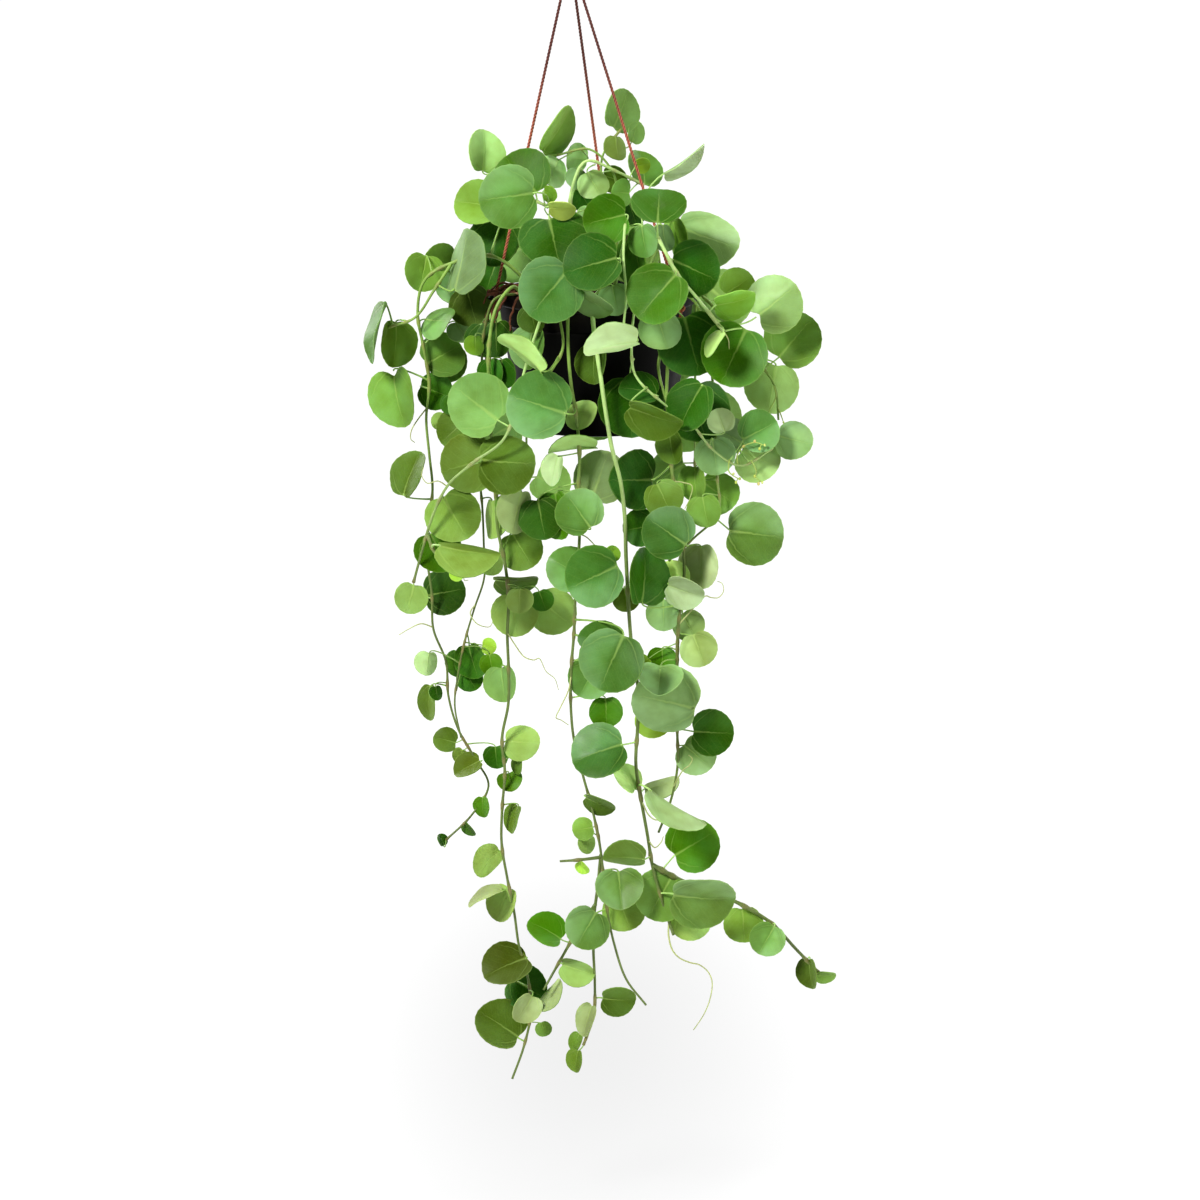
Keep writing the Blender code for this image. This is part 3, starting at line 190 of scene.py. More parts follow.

# The vines. Each has the place of its root in the soil (right of the pot's axis, forward), the
# radius of its stem, its routes as (right, drop, forward), of which the later ones branch off,
# its leaves as (right, drop, size, clock angle of the tip, tip towards the viewer, roll, forward),
# and a colour's letter for each leaf. The young leaves are settled last, where there is room.
# Some leaves that lie in shade or face away from the lamps have a lighter letter than their own colour:
# painted light
VINES = {
    "sprig_top": dict(
        root=(2, -4),
        radius=1.2,
        routes=[
            [(4, 262, -4), (5, 230, 0), (5, 200, 0), (6, 178, 0), (12, 167, -2), (20, 163, -4)],
        ],
        tones="SSS",
        leaves=[
            (20, 149, 35, 25, 0, 42, -4), (31, 166, 20, 15, 0, 50, -14),
            (16, 178, 22, 175, 10, 140, 10),
        ],
    ),
    "sprig_arch": dict(
        root=(14, -14),
        radius=1.2,
        routes=[
            [(17, 250, 4), (17, 215, 14), (11, 192, 16), (0, 181, 14), (-18, 179, 12), (-31, 184, 10)],
        ],
        tones="MWW",
        leaves=[
            (-31, 166, 45, 35, 0, 68, 10), (-15, 187, 24, -95, 40, 160, 0),
            (-34, 197, 27, -160, 20, 150, -8),
        ],
    ),
    "arch_pale": dict(
        root=(-16, 16),
        radius=1.5,
        routes=[
            [(-19, 240, 30), (-20, 213, 36), (-17, 197, 36), (-10, 190, 34), (0, 187, 32), (9, 191, 28),
             (18, 198, 24), (30, 201, 16), (38, 208, 8)],
        ],
        tones="MGGM",
        leaves=[
            (38, 195, 33, -4, -15, 38, 0), (-2, 207, 25, 150, 10, 165, 24),
            (-15, 203, 19, 190, 10, 150, 24), (21, 214, 21, -90, 45, 0, 12),
        ],
        young_tones="YDWOD",
        young=[
            (37, 192, 13, 80, 0, 30, 16), (-10, 218, 22, 150, 0, 20, 12),
            (-8, 232, 15, -140, 0, 150, 20), (14, 203, 22, 110, 0, 25, 0),
            (29, 229, 24, 160, 0, -20, 4),
        ],
    ),
    "crown_left": dict(
        root=(-32, 6),
        radius=1.4,
        routes=[
            [(-26, 262, 30), (-27, 238, 44), (-36, 226, 50), (-48, 221, 30), (-62, 215, 12),
             (-75, 207, 0), (-83, 199, -6)],
        ],
        tones="BDEVLM",
        leaves=[
            (-69, 217, 48, -98, 0, -12, 74), (-34, 251, 52, 168, 35, 0, 94),
            (-28, 227, 23, 97, 10, 60, 92), (-59, 201, 45, -40, -15, 10, 28),
            (-89, 182, 37, 5, 0, 43, -6), (-95, 223, 37, -80, 0, 15, 8),
        ],
        young_tones="Y",
        young=[
            (-37, 215, 13, 120, 20, 30, 66),
        ],
    ),
    "vine_far_left": dict(
        root=(-44, -8),
        radius=1.3,
        routes=[
            [(-50, 297, 20), (-60, 281, 34), (-68, 270, 36), (-78, 266, 36), (-92, 264, 34),
             (-108, 268, 32), (-122, 273, 30), (-134, 281, 28), (-142, 291, 26), (-144, 302, 26),
             (-141, 318, 26), (-139, 332, 26), (-136, 348, 26), (-133, 361, 26), (-135, 376, 26),
             (-136, 392, 26), (-134, 410, 26), (-133, 430, 26), (-131, 448, 26), (-131, 460, 26),
             (-134, 480, 26), (-135, 505, 26), (-132, 530, 26), (-130, 548, 26), (-131, 560, 26),
             (-126, 572, 26), (-121, 584, 26), (-119, 600, 26), (-118, 617, 26), (-113, 632, 26),
             (-109, 647, 26), (-103, 659, 28), (-96, 668, 30), (-88, 673, 32), (-83, 680, 34),
             (-86, 689, 34), (-91, 699, 34), (-97, 709, 34), (-105, 718, 34), (-113, 726, 34),
             (-120, 732, 34)],
            [(-116, 271, 31), (-124, 280, 36), (-129, 290, 38), (-132, 300, 38), (-140, 308, 38),
             (-147, 317, 38), (-152, 322, 38), (-160, 323, 36), (-166, 322, 34)],
        ],
        tones="DKWMMOTYBGMOVMODOOODV",
        leaves=[
            (-80, 252, 43, -165, 10, 20, 0), (-107, 271, 55, 16, 0, 121, 44),
            (-117, 290, 27, -170, 10, 130, 22), (-124, 270, 30, -80, 40, 0, 16),
            (-138, 277, 32, -170, 10, -20, 14), (-100, 304, 34, 165, 10, 15, 34),
            (-175, 324, 54, -165, 0, 78, 34), (-160, 334, 39, 180, 0, -48, 30),
            (-127, 317, 31, 100, 40, 150, 28), (-108, 325, 22, 150, 20, 150, 12),
            (-123, 344, 36, 60, -10, 0, 18), (-118, 350, 31, 75, 0, 160, 6),
            (-129, 373, 29, 110, 0, 0, 16), (-160, 376, 51, 172, 0, 45, 22),
            (-149, 440, 41, 20, 0, -52, 22), (-122, 534, 35, 80, 0, 0, 14),
            (-134, 621, 31, -175, 0, 62, 20), (-120, 652, 21, -75, 0, 25, 26),
            (-102, 673, 26, -115, 0, 50, 36), (-80, 665, 20, 175, 0, 10, 26),
            (-91, 705, 18, 180, 0, 45, 38),
        ],
        young_tones="DDSDD",
        young=[
            (-84, 281, 26, -160, 0, 15, -14), (-128, 614, 13, 170, 0, 140, 28),
            (-109, 664, 13, -150, 0, 150, 20), (-102, 723, 15, 145, 0, 60, 34),
            (-123, 732, 11, -20, 0, 50, 36),
        ],
    ),
    "vine_left_pale": dict(
        root=(-26, 32),
        radius=1.5,
        routes=[
            [(-36, 297, 78), (-42, 312, 88), (-52, 338, 92), (-61, 372, 94), (-66, 398, 95),
             (-71, 409, 96), (-90, 424, 96), (-107, 437, 92), (-120, 450, 88), (-127, 460, 86),
             (-131, 474, 84), (-134, 487, 82), (-139, 500, 80), (-143, 512, 78), (-146, 526, 76)],
            [(-134, 488, 82), (-129, 502, 84), (-120, 513, 86)],
        ],
        tones="SOUUVUSS",
        leaves=[
            (-94, 384, 49, -52, 0, 172, 84), (-73, 430, 48, 95, 0, 160, 86),
            (-101, 431, 46, -105, 0, 170, 70), (-114, 472, 43, 150, 0, 172, 74),
            (-126, 499, 37, 150, 10, 0, 68), (-104, 502, 54, 103, 0, 116, 90),
            (-84, 511, 19, 170, 0, 165, 96), (-148, 538, 26, -165, 0, -10, 76),
        ],
        young_tones="Y",
        young=[
            (-112, 518, 14, 120, 20, 40, 86),
        ],
    ),
    "vine_left_thin": dict(
        root=(-55, 4),
        radius=1.1,
        routes=[
            [(-67, 297, 34), (-80, 300, 48), (-88, 318, 50), (-91, 345, 52), (-92, 375, 52),
             (-93, 410, 52), (-93, 445, 52), (-91, 465, 52), (-90, 490, 52), (-89, 515, 52),
             (-91, 531, 52), (-97, 546, 52), (-101, 558, 52), (-105, 573, 50), (-108, 590, 48),
             (-112, 606, 46), (-113, 621, 44), (-112, 636, 42), (-108, 650, 42)],
        ],
        tones="DDOSWDDDV",
        leaves=[
            (-91, 331, 29, 178, 0, 30, 44), (-80, 330, 31, 180, 0, 25, 60),
            (-112, 403, 32, -130, 0, 20, 50), (-82, 474, 34, 178, 0, -122, 70),
            (-135, 590, 21, -170, 0, 145, 36), (-99, 588, 31, 165, 0, 38, 40),
            (-112, 590, 23, -170, 0, 50, 34), (-101, 603, 21, 150, 10, 0, 32),
            (-84, 591, 18, 170, 0, 0, 56),
        ],
        young_tones="YDSY",
        young=[
            (-97, 336, 17, 180, 0, 150, 56), (-118, 383, 17, 180, 0, 50, 50),
            (-125, 397, 14, -120, 0, 160, 46), (-86, 577, 13, 100, 20, 0, 50),
        ],
    ),
    "vine_left_long": dict(
        root=(-56, 26),
        radius=1.4,
        routes=[
            [(-64, 290, 44), (-77, 302, 64), (-84, 322, 71), (-86, 350, 72), (-85, 385, 72),
             (-83, 420, 72), (-80, 455, 72), (-79, 480, 74), (-76, 497, 74), (-73, 510, 74),
             (-70, 524, 74), (-70, 545, 72), (-71, 568, 72), (-70, 592, 72), (-70, 615, 72),
             (-71, 635, 72), (-75, 650, 72), (-77, 662, 72), (-73, 677, 72), (-74, 690, 72),
             (-75, 704, 72), (-75, 718, 72), (-76, 731, 72), (-73, 744, 72), (-72, 757, 72),
             (-69, 771, 72), (-66, 785, 72), (-65, 797, 72), (-63, 811, 72), (-60, 822, 72),
             (-56, 836, 72), (-53, 850, 72), (-52, 865, 72), (-53, 880, 72), (-55, 890, 72),
             (-60, 903, 72), (-64, 915, 72), (-67, 923, 72)],
        ],
        tones="DDKMOSSSDSSVOSKSNDKKO",
        leaves=[
            (-84, 357, 23, 175, 0, 30, 64), (-74, 358, 25, 170, 0, 35, 66),
            (-64, 468, 38, -165, 0, 132, 84), (-60, 499, 35, 150, 0, 165, 62),
            (-66, 525, 38, 93, 0, 68, 80), (-65, 551, 36, 178, 5, 0, 66), (-61, 540, 21, 180, 0, 0, 94),
            (-34, 549, 37, 130, 0, 10, 60), (-43, 540, 18, 160, 0, 0, 70),
            (-75, 606, 31, 175, 0, 142, 62), (-60, 654, 30, 95, 0, 155, 66),
            (-69, 684, 20, 170, 40, 0, 64), (-66, 714, 25, 200, 0, 62, 70),
            (-86, 748, 30, -135, 0, 132, 66), (-88, 776, 32, -110, 0, 78, 76),
            (-75, 782, 31, -155, 0, 42, 64), (-71, 832, 41, -110, 15, 42, 80),
            (-56, 850, 35, 120, 20, 0, 56), (-56, 866, 27, -150, 0, -38, 88),
            (-38, 856, 31, 45, 0, 110, 72), (-76, 880, 43, -55, 0, 33, 64),
        ],
        young_tones="MOM",
        young=[
            (-73, 463, 15, 180, 0, 0, 80), (-63, 672, 15, 185, 0, 55, 66),
            (-42, 883, 13, 160, 0, 0, 68),
        ],
    ),
    "vine_centre_left": dict(
        root=(-16, 40),
        radius=1.4,
        routes=[
            [(-20, 296, 80), (-22, 306, 88), (-23, 322, 90), (-22, 342, 90), (-21, 360, 90),
             (-18, 376, 90), (-16, 392, 90), (-14, 404, 90), (-13, 418, 90), (-14, 435, 90),
             (-14, 455, 90), (-13, 480, 90), (-14, 505, 90), (-16, 530, 90), (-17, 548, 90),
             (-17, 562, 90), (-19, 577, 90), (-20, 600, 90), (-20, 635, 90), (-18, 650, 90),
             (-14, 667, 90), (-10, 682, 90), (-6, 697, 90), (-2, 711, 90), (1, 725, 90), (4, 742, 90),
             (6, 760, 90), (8, 780, 90), (11, 802, 90), (16, 820, 90), (22, 838, 90), (30, 855, 88),
             (40, 864, 86)],
            [(4, 744, 90), (2, 765, 84), (-1, 785, 82), (-2, 805, 82), (-2, 822, 82), (-1, 843, 82),
             (-1, 859, 82), (-2, 875, 82), (-2, 888, 82), (-10, 896, 84)],
            [(-1, 783, 82), (-10, 797, 78), (-21, 814, 78), (-29, 829, 78), (-37, 843, 80),
             (-42, 852, 84)],
            [(3, 746, 90), (-14, 748, 92), (-29, 749, 92)],
        ],
        tones="BLDVBKTBTTBVOMBUBVSOKOLW",
        leaves=[
            (-45, 384, 52, -72, 0, 0, 112), (-12, 391, 27, 95, 20, 150, 84),
            (-44, 474, 35, 170, 0, 15, 84), (-31, 471, 41, 175, 0, 50, 94),
            (-13, 470, 37, -35, 0, 0, 104), (3, 442, 43, 20, 0, 165, 80),
            (-1, 521, 47, -115, 0, 0, 102), (-22, 515, 35, -60, 0, 0, 82),
            (5, 573, 38, -72, 0, 45, 126), (13, 588, 50, -155, 0, 12, 114),
            (-5, 602, 34, -150, 0, 0, 86), (8, 629, 26, 178, 0, 0, 92), (2, 703, 28, 115, 0, 60, 96),
            (-10, 723, 18, -100, 0, 0, 90), (19, 770, 37, 175, 30, 0, 102),
            (22, 789, 33, 160, 0, 0, 82), (-7, 802, 35, -150, 0, 0, 98), (-39, 804, 33, -58, 0, 45, 80),
            (-16, 836, 31, 110, 0, 125, 82), (17, 860, 30, 95, 0, 35, 82),
            (-7, 875, 29, 200, 0, 62, 84), (-16, 908, 20, 190, 0, 52, 84),
            (-17, 418, 42, -92, 0, 102, 86), (-34, 435, 27, -165, 0, 125, 84),
        ],
        young_tones="YSYO",
        young=[
            (13, 503, 13, 30, 0, 20, 96), (-7, 735, 16, 190, 0, 145, 84),
            (-11, 754, 13, 140, 0, 50, 90), (-16, 893, 17, 205, 0, 55, 86),
        ],
    ),
    "vine_short_centre": dict(
        root=(-24, 50),
        radius=1.5,
        routes=[
            [(-31, 296, 78), (-30, 310, 90), (-26, 322, 94), (-25, 333, 94), (-29, 345, 94),
             (-33, 356, 94), (-39, 362, 94)],
        ],
        tones="TGLBO",
        leaves=[
            (-36, 292, 50, -140, 0, 0, 114), (-6, 300, 41, 128, 0, 68, 106),
            (-57, 343, 48, -48, 0, 104, 110), (-54, 337, 36, -165, 0, 42, 78),
            (-51, 315, 23, 170, 0, 150, 92),
        ],
    ),
    "vine_centre_thick": dict(
        root=(-2, 40),
        radius=1.8,
        routes=[
            [(-4, 294, 84), (-3, 310, 92), (-2, 326, 96), (2, 340, 98), (3, 352, 98), (4, 368, 98),
             (7, 385, 98), (10, 402, 98), (13, 420, 98), (17, 436, 98), (21, 451, 98), (23, 464, 98),
             (23, 482, 98), (24, 505, 98), (24, 522, 96), (27, 542, 94), (27, 560, 94), (30, 590, 94),
             (33, 606, 94), (35, 626, 94), (33, 645, 94), (30, 660, 94), (32, 672, 94), (35, 692, 94),
             (38, 713, 94), (42, 732, 94), (45, 751, 94), (48, 768, 94), (53, 781, 94), (59, 795, 94),
             (62, 808, 94)],
            [(45, 752, 94), (62, 762, 90), (85, 770, 86), (105, 779, 84), (117, 784, 84),
             (130, 792, 84), (146, 803, 84), (158, 817, 84), (168, 828, 84), (178, 838, 84)],
        ],
        tones="DPOOTLKGVUMBSMBOM",
        leaves=[
            (-2, 271, 48, -104, 0, 25, 120), (15, 299, 26, 170, 0, 20, 84),
            (-2, 350, 33, 185, 0, 45, 86), (24, 539, 21, 170, 0, 0, 84), (3, 661, 46, -108, 0, 28, 104),
            (25, 683, 27, -40, 0, 50, 94), (52, 689, 31, 78, 0, 115, 90),
            (62, 706, 57, 125, 0, 103, 102), (77, 736, 43, 60, 0, 0, 94),
            (24, 745, 36, -82, 0, 125, 100), (52, 776, 42, -150, 0, 0, 96),
            (84, 779, 55, 98, 0, 42, 108), (76, 796, 33, 140, 0, 0, 84), (118, 799, 31, 175, 0, 0, 80),
            (137, 811, 28, -150, 0, 0, 96), (171, 838, 27, 178, 0, 58, 86),
            (183, 841, 18, 95, 0, 55, 84),
        ],
    ),
    "vine_right_front": dict(
        root=(26, 30),
        radius=1.7,
        routes=[
            [(33, 278, 56), (38, 254, 84), (44, 238, 102), (50, 252, 112), (58, 267, 112),
             (65, 279, 112), (73, 290, 110), (82, 300, 108), (90, 308, 106), (97, 316, 104),
             (102, 325, 102)],
        ],
        tones="VVDYGLVGMGP",
        leaves=[
            (50, 225, 41, 4, -38, 0, 120), (50, 295, 49, -138, 0, 25, 130),
            (77, 275, 43, 115, 0, 5, 98), (110, 302, 35, 80, 0, 58, 100),
            (142, 303, 45, 52, 0, 172, 84), (95, 334, 25, -145, 0, 68, 124),
            (111, 343, 51, -155, 0, 5, 114), (54, 250, 23, 172, 0, 140, 92),
            (64, 247, 27, 165, 0, 50, 80), (87, 250, 54, 112, 0, 150, 66), (70, 190, 43, 58, 0, 82, 40),
        ],
    ),
    "vine_centre_pale": dict(
        root=(12, 34),
        radius=1.4,
        routes=[
            [(17, 280, 58), (22, 255, 78), (27, 234, 92), (23, 240, 104), (20, 251, 110),
             (22, 266, 112), (22, 283, 112), (25, 300, 112), (24, 313, 112), (22, 322, 112)],
        ],
        tones="VWVB",
        leaves=[
            (9, 235, 37, -103, 0, -5, 104), (14, 335, 47, -98, 0, 113, 120),
            (33, 268, 45, 172, 0, 62, 84), (38, 252, 27, 172, 0, 35, 90),
        ],
    ),
    "vine_right_low": dict(
        root=(34, 42),
        radius=1.2,
        routes=[
            [(35, 292, 76), (31, 306, 92), (29, 325, 96), (28, 344, 97), (29, 356, 98), (36, 365, 99),
             (45, 374, 100), (55, 384, 102), (68, 393, 102), (78, 400, 102), (85, 408, 100),
             (92, 418, 98), (98, 425, 96), (105, 430, 94), (113, 433, 92), (125, 430, 90),
             (135, 423, 88), (141, 419, 86)],
        ],
        tones="DDODDGBGPPL",
        leaves=[
            (28, 384, 50, 178, 0, 0, 84), (35, 372, 33, -75, 0, 42, 94), (45, 393, 48, 113, 0, 62, 96),
            (76, 383, 43, -150, 0, 38, 112), (82, 388, 49, 170, 0, 10, 84),
            (95, 424, 31, 172, 0, 0, 90), (130, 405, 33, 62, 0, 0, 92), (158, 412, 30, 105, 0, 170, 76),
            (108, 409, 28, -60, 0, 165, 82), (100, 397, 21, -20, 0, 0, 84),
            (129, 427, 36, 115, 0, 165, 78),
        ],
    ),
    "vine_right_long": dict(
        root=(50, 26),
        radius=1.5,
        routes=[
            [(52, 287, 50), (58, 300, 74), (60, 318, 84), (59, 337, 86), (57, 358, 86), (56, 378, 87),
             (57, 392, 88), (58, 405, 88), (59, 420, 88), (61, 440, 88), (64, 455, 88), (67, 470, 88),
             (70, 490, 88), (70, 510, 88), (70, 535, 88), (68, 552, 88), (65, 565, 88), (65, 590, 88),
             (65, 615, 88), (65, 640, 86), (65, 660, 86), (65, 678, 86), (62, 693, 86), (59, 703, 84),
             (55, 716, 82), (50, 726, 82)],
            [(60, 322, 84), (50, 334, 84), (50, 352, 84), (54, 371, 85), (57, 384, 88)],
        ],
        tones="GDODMDDLPPGGGVGGYDG",
        leaves=[
            (52, 323, 33, 165, 0, 165, 96), (76, 334, 52, 165, 0, 0, 84), (60, 417, 28, 172, 0, 45, 92),
            (31, 444, 46, -92, 38, 0, 84), (54, 458, 30, 155, 0, 0, 94), (36, 482, 29, -100, 0, 0, 84),
            (39, 523, 48, 5, 0, 50, 106), (61, 522, 27, -30, 0, 0, 96), (70, 533, 33, 112, 0, 45, 100),
            (84, 512, 37, 178, 0, 38, 90), (54, 551, 27, 178, 0, 0, 92), (74, 560, 25, 150, 0, 0, 84),
            (82, 579, 29, 160, 0, 0, 92), (53, 588, 23, 180, 10, 0, 92), (51, 602, 35, 185, 50, 0, 120),
            (57, 621, 55, -75, 0, 158, 108), (46, 636, 29, 160, 0, 0, 80), (92, 646, 36, 93, 0, 0, 94),
            (80, 664, 32, 130, 0, 0, 82),
        ],
        young_tones="Y",
        young=[
            (38, 590, 13, -130, 0, 30, 88),
        ],
    ),
    "vine_right_mid": dict(
        root=(54, 6),
        radius=1.2,
        routes=[
            [(70, 296, 40), (82, 308, 54), (90, 335, 64), (94, 375, 72), (96, 410, 80), (97, 445, 87),
             (98, 471, 93), (90, 480, 96), (80, 489, 98), (70, 497, 99), (62, 505, 99), (58, 509, 99)],
        ],
        tones="BMMMT",
        leaves=[
            (126, 487, 48, 97, 0, 0, 94), (97, 454, 35, 125, 0, 165, 76),
            (87, 468, 27, 170, 0, 20, 100), (79, 446, 31, 180, 0, 50, 84),
            (58, 486, 41, -55, 0, 0, 110),
        ],
    ),
    "vine_far_right": dict(
        root=(58, -14),
        radius=1.3,
        routes=[
            [(72, 292, 0), (88, 302, 14), (100, 314, 26), (114, 331, 36), (128, 347, 42),
             (141, 364, 46), (144, 376, 48), (144, 386, 48), (146, 396, 48)],
        ],
        tones="MLM",
        leaves=[
            (158, 332, 45, 40, 0, -10, 48), (141, 369, 43, -170, 0, 170, 36),
            (113, 289, 29, 55, 0, 0, 20),
        ],
    ),
}

# Small parts and finishes. The cords darken between the two heights of CORD_GRIME
# The twine's strands in painted light, and painted shade in the grooves between them
CORD_LIT = (222, 122, 88)
CORD_GROOVE_SHADE = (112, 44, 34)
CORD_GROOVE_DEPTH = 0.78
CORD_GRIME = (-0.20, -0.12)
CORD_TAILS = {
    "left": [(-80, 306, 31), (-82, 316, 35), (-84, 328, 37), (-87, 340, 37)],
    "right": [(67, 318, 57), (69, 325, 61), (68, 331, 62)],
    "back": [(6, 322, -88), (4, 329, -92), (5, 336, -93)],
}
BARK_CHIPS = 150
CHIP_SIZE = (0.0085, 0.0048, 0.0020)
HEAP_CHIPS = 60
# The heap at the left of the rim: right, forward, reach and height in millimetres
HEAP = (-62, 26, 14, 13)
BARK_COLOURS = [(116, 66, 46), (92, 54, 40), (140, 88, 60), (70, 42, 32), (186, 146, 112)]
ROOT_COLOURS = ((72, 36, 22), (168, 104, 74))
BUD_COLOURS = [(206, 214, 120), (186, 200, 96), (214, 200, 120)]
JOINT_COLOUR = (150, 128, 84)
STALK_COLOURS = {"pale": (172, 208, 122), "green": (146, 182, 92), "dark": (120, 150, 72)}
TENDRIL_COLOUR = (178, 186, 124)
FLOWER_STALK_COLOUR = (168, 190, 96)
STALK_SHAPE = (1.25, 1.0, 0.92, 0.88, 0.86, 0.86, 0.88, 0.92, 0.8)
BLADE_THICKNESS = 0.0007
BROAD_LEAF = 0.028
TOOTH_DEPTH = 0.007
VEIN_ANGLE = 0.66
SIDE_VEIN_SPACING = 0.15
DEEP_NOTCHES = {(-160, 376): 1.8, (142, 303): 1.8}

# Floor and light
FLOOR_Z = -1.06
FLOOR_GLOW = 0.92
# The painted soft shadow on the floor under the plant: its middle and its reach
FLOOR_SHADE_PLACE = (0.01, 0.45, FLOOR_Z)
FLOOR_SHADE_REACH = (0.38, 1.2, 1.0)
ROOM_LIGHT = 0.12
LIGHTS = {
    "key_left": ((-1.5, -1.9, 1.3), 0.8, 84),
    "top": ((0.1, 0.4, 1.5), 0.9, 16),
    "fill_right": ((2.1, -1.2, -0.3), 1.6, 22),
    "back_left": ((-1.5, 1.8, 0.4), 1.6, 34),
    "back_right": ((1.6, 1.7, 0.2), 1.6, 26),
}

# Vines at the back, by bearing from the pot's back, length below the rim and leaf count
BACK_VINES = {
    "vine_back_1": (-58, 0.150, 5),
    "vine_back_2": (-34, 0.120, 4),
    "vine_back_3": (-11, 0.110, 4),
    "vine_back_4": (13, 0.120, 4),
    "vine_back_5": (37, 0.165, 6),
}
BACK_ROOT_RADIUS = 0.040
BACK_CREST = (0.066, 0.040)
BACK_HANG_RADIUS = 0.094
BACK_STEM_RADIUS = 0.0013
BACK_LEAF_SIZES = (0.050, 0.036)

# Tendrils, as routes of (right, drop, forward) in millimetres, with the radius at their root
TENDRILS = [
    (0.80, [(57, 797, 92), (57, 808, 92), (60, 819, 92), (66, 826, 92), (75, 830, 92), (83, 832, 92),
            (90, 838, 92), (93, 847, 92), (91, 860, 92), (86, 872, 92), (78, 884, 92)]),
    (0.65, [(65, 560, 88), (74, 550, 90), (80, 544, 92), (87, 537, 94), (92, 538, 96), (98, 538, 98),
            (102, 533, 98), (101, 527, 97), (97, 525, 96)]),
    (0.65, [(-131, 562, 26), (-140, 559, 28), (-148, 562, 30), (-158, 568, 32)]),
    (0.65, [(-134, 386, 26), (-142, 396, 28), (-147, 404, 30), (-148, 411, 30), (-145, 414, 28)]),
    (0.58, [(-71, 566, 72), (-66, 574, 76), (-58, 585, 80), (-50, 588, 82), (-45, 587, 82),
            (-40, 597, 80), (-33, 603, 78), (-30, 612, 76)]),
    (0.65, [(-20, 600, 90), (-22, 612, 94), (-29, 627, 98), (-32, 634, 98), (-28, 636, 96),
            (-22, 640, 94)]),
    (0.58, [(-13, 487, 90), (-7, 490, 96), (0, 497, 100), (5, 502, 102)]),
    (0.65, [(62, 690, 86), (66, 682, 92), (70, 676, 96), (75, 672, 98), (77, 667, 98), (74, 664, 97)]),
    (0.65, [(36, 700, 94), (42, 712, 98), (49, 716, 100), (54, 710, 102), (52, 705, 102)]),
    (0.65, [(42, 732, 94), (47, 738, 98), (52, 734, 102), (54, 729, 104)]),
    (0.58, [(-92, 500, 52), (-100, 506, 56), (-107, 515, 58), (-106, 524, 58), (-102, 524, 57)]),
    (0.58, [(62, 445, 88), (70, 446, 92), (77, 449, 95), (75, 459, 96), (71, 467, 96)]),
    (0.58, [(-90, 545, 52), (-96, 552, 55), (-92, 560, 58), (-84, 562, 58), (-82, 556, 57)]),
    (0.58, [(-121, 448, 88), (-128, 444, 92), (-136, 446, 94), (-140, 440, 95), (-138, 434, 95)]),
    (0.58, [(102, 325, 102), (106, 332, 102), (107, 342, 101), (112, 347, 100), (117, 344, 99)]),
]

# Flower stalks, each as a route and the places of its small buds
FLOWER_STALKS = [
    ([(112, 433, 92), (113, 424, 96), (118, 417, 99), (127, 414, 100), (134, 416, 100)],
     [(118, 417, 99), (127, 413, 100), (135, 416, 100), (131, 419, 101)]),
    ([(105, 430, 94), (106, 436, 98), (109, 440, 100), (114, 443, 101)],
     [(110, 439, 100), (115, 443, 101), (112, 446, 102)]),
    ([(125, 430, 90), (128, 436, 94), (128, 442, 96), (133, 446, 97)],
     [(127, 441, 96), (133, 446, 97), (130, 447, 97)]),
    ([(143, 367, 47), (144, 377, 52), (140, 386, 56), (137, 392, 58)],
     [(138, 391, 58), (135, 394, 58), (139, 396, 59)]),
    ([(144, 384, 48), (148, 392, 50), (150, 398, 51)],
     [(150, 398, 51), (153, 401, 52)]),
]

# Old roots and dry stalks at the left of the soil, as (right, forward, height over the soil)
OLD_ROOTS = [
    (2.0, [(-38, 12, -3), (-46, 20, 8), (-56, 26, 15), (-66, 30, 19), (-76, 34, 14), (-84, 38, -4),
           (-84, 40, -14)]),
    (1.5, [(-30, 24, -3), (-42, 30, 10), (-54, 36, 19), (-64, 40, 18), (-72, 46, 8), (-79, 50, -8),
           (-78, 52, -22)]),
    (1.2, [(-48, 0, -3), (-58, 8, 10), (-68, 16, 15), (-78, 20, 12), (-86, 24, -6), (-87, 30, -24),
           (-85, 34, -44)]),
    (1.4, [(-36, 36, -2), (-44, 44, 9), (-52, 52, 16), (-60, 60, 12), (-66, 64, -2), (-66, 66, -12)]),
    (1.1, [(-50, 22, -2), (-60, 18, 12), (-70, 24, 20), (-80, 30, 17), (-88, 34, 6)]),
    (1.1, [(-26, 40, -2), (-34, 50, 11), (-42, 60, 18), (-52, 66, 8), (-55, 70, -6)]),
    (1.3, [(-52, 10, 0), (-62, 22, 14), (-72, 36, 15), (-80, 42, 2), (-82, 44, -12), (-81, 46, -32)]),
]


# Places


def seen_at(across, drop, forward):
    """The point seen at this place from the front, so many millimetres before the pot's axis."""
    eye = VIEW_POINT + VIEW_DISTANCE * VIEW_TOWARDS
    right = VIEW_RIGHT * (across - VIEW_READING[0]) * MM
    down = VIEW_UP * (VIEW_READING[1] - drop) * MM
    ray = VIEW_POINT + right + down - eye
    return eye + ray * ((-forward * MM - eye.y) / ray.y)


def on_soil(across, forward, height):
    """A point over the soil, in millimetres from the pot's axis and metres over the soil."""
    return Vector((POT_AXIS_X + across * MM, -forward * MM, SOIL_Z + height))


def at_bearing(bearing, radius, height):
    """A point at this bearing from the front and this far from the pot's axis."""
    turn = math.radians(bearing)
    return Vector((POT_AXIS_X + radius * math.sin(turn), -radius * math.cos(turn), height))


def linear(colour):
    """An sRGB colour of 0 to 255 as the renderer's own values."""
    return tuple(((c / 255 + 0.055) / 1.055) ** 2.4 if c > 10 else c / 3294 for c in colour)


# The plant's growth: where each stem and leaf is, clear of everything else


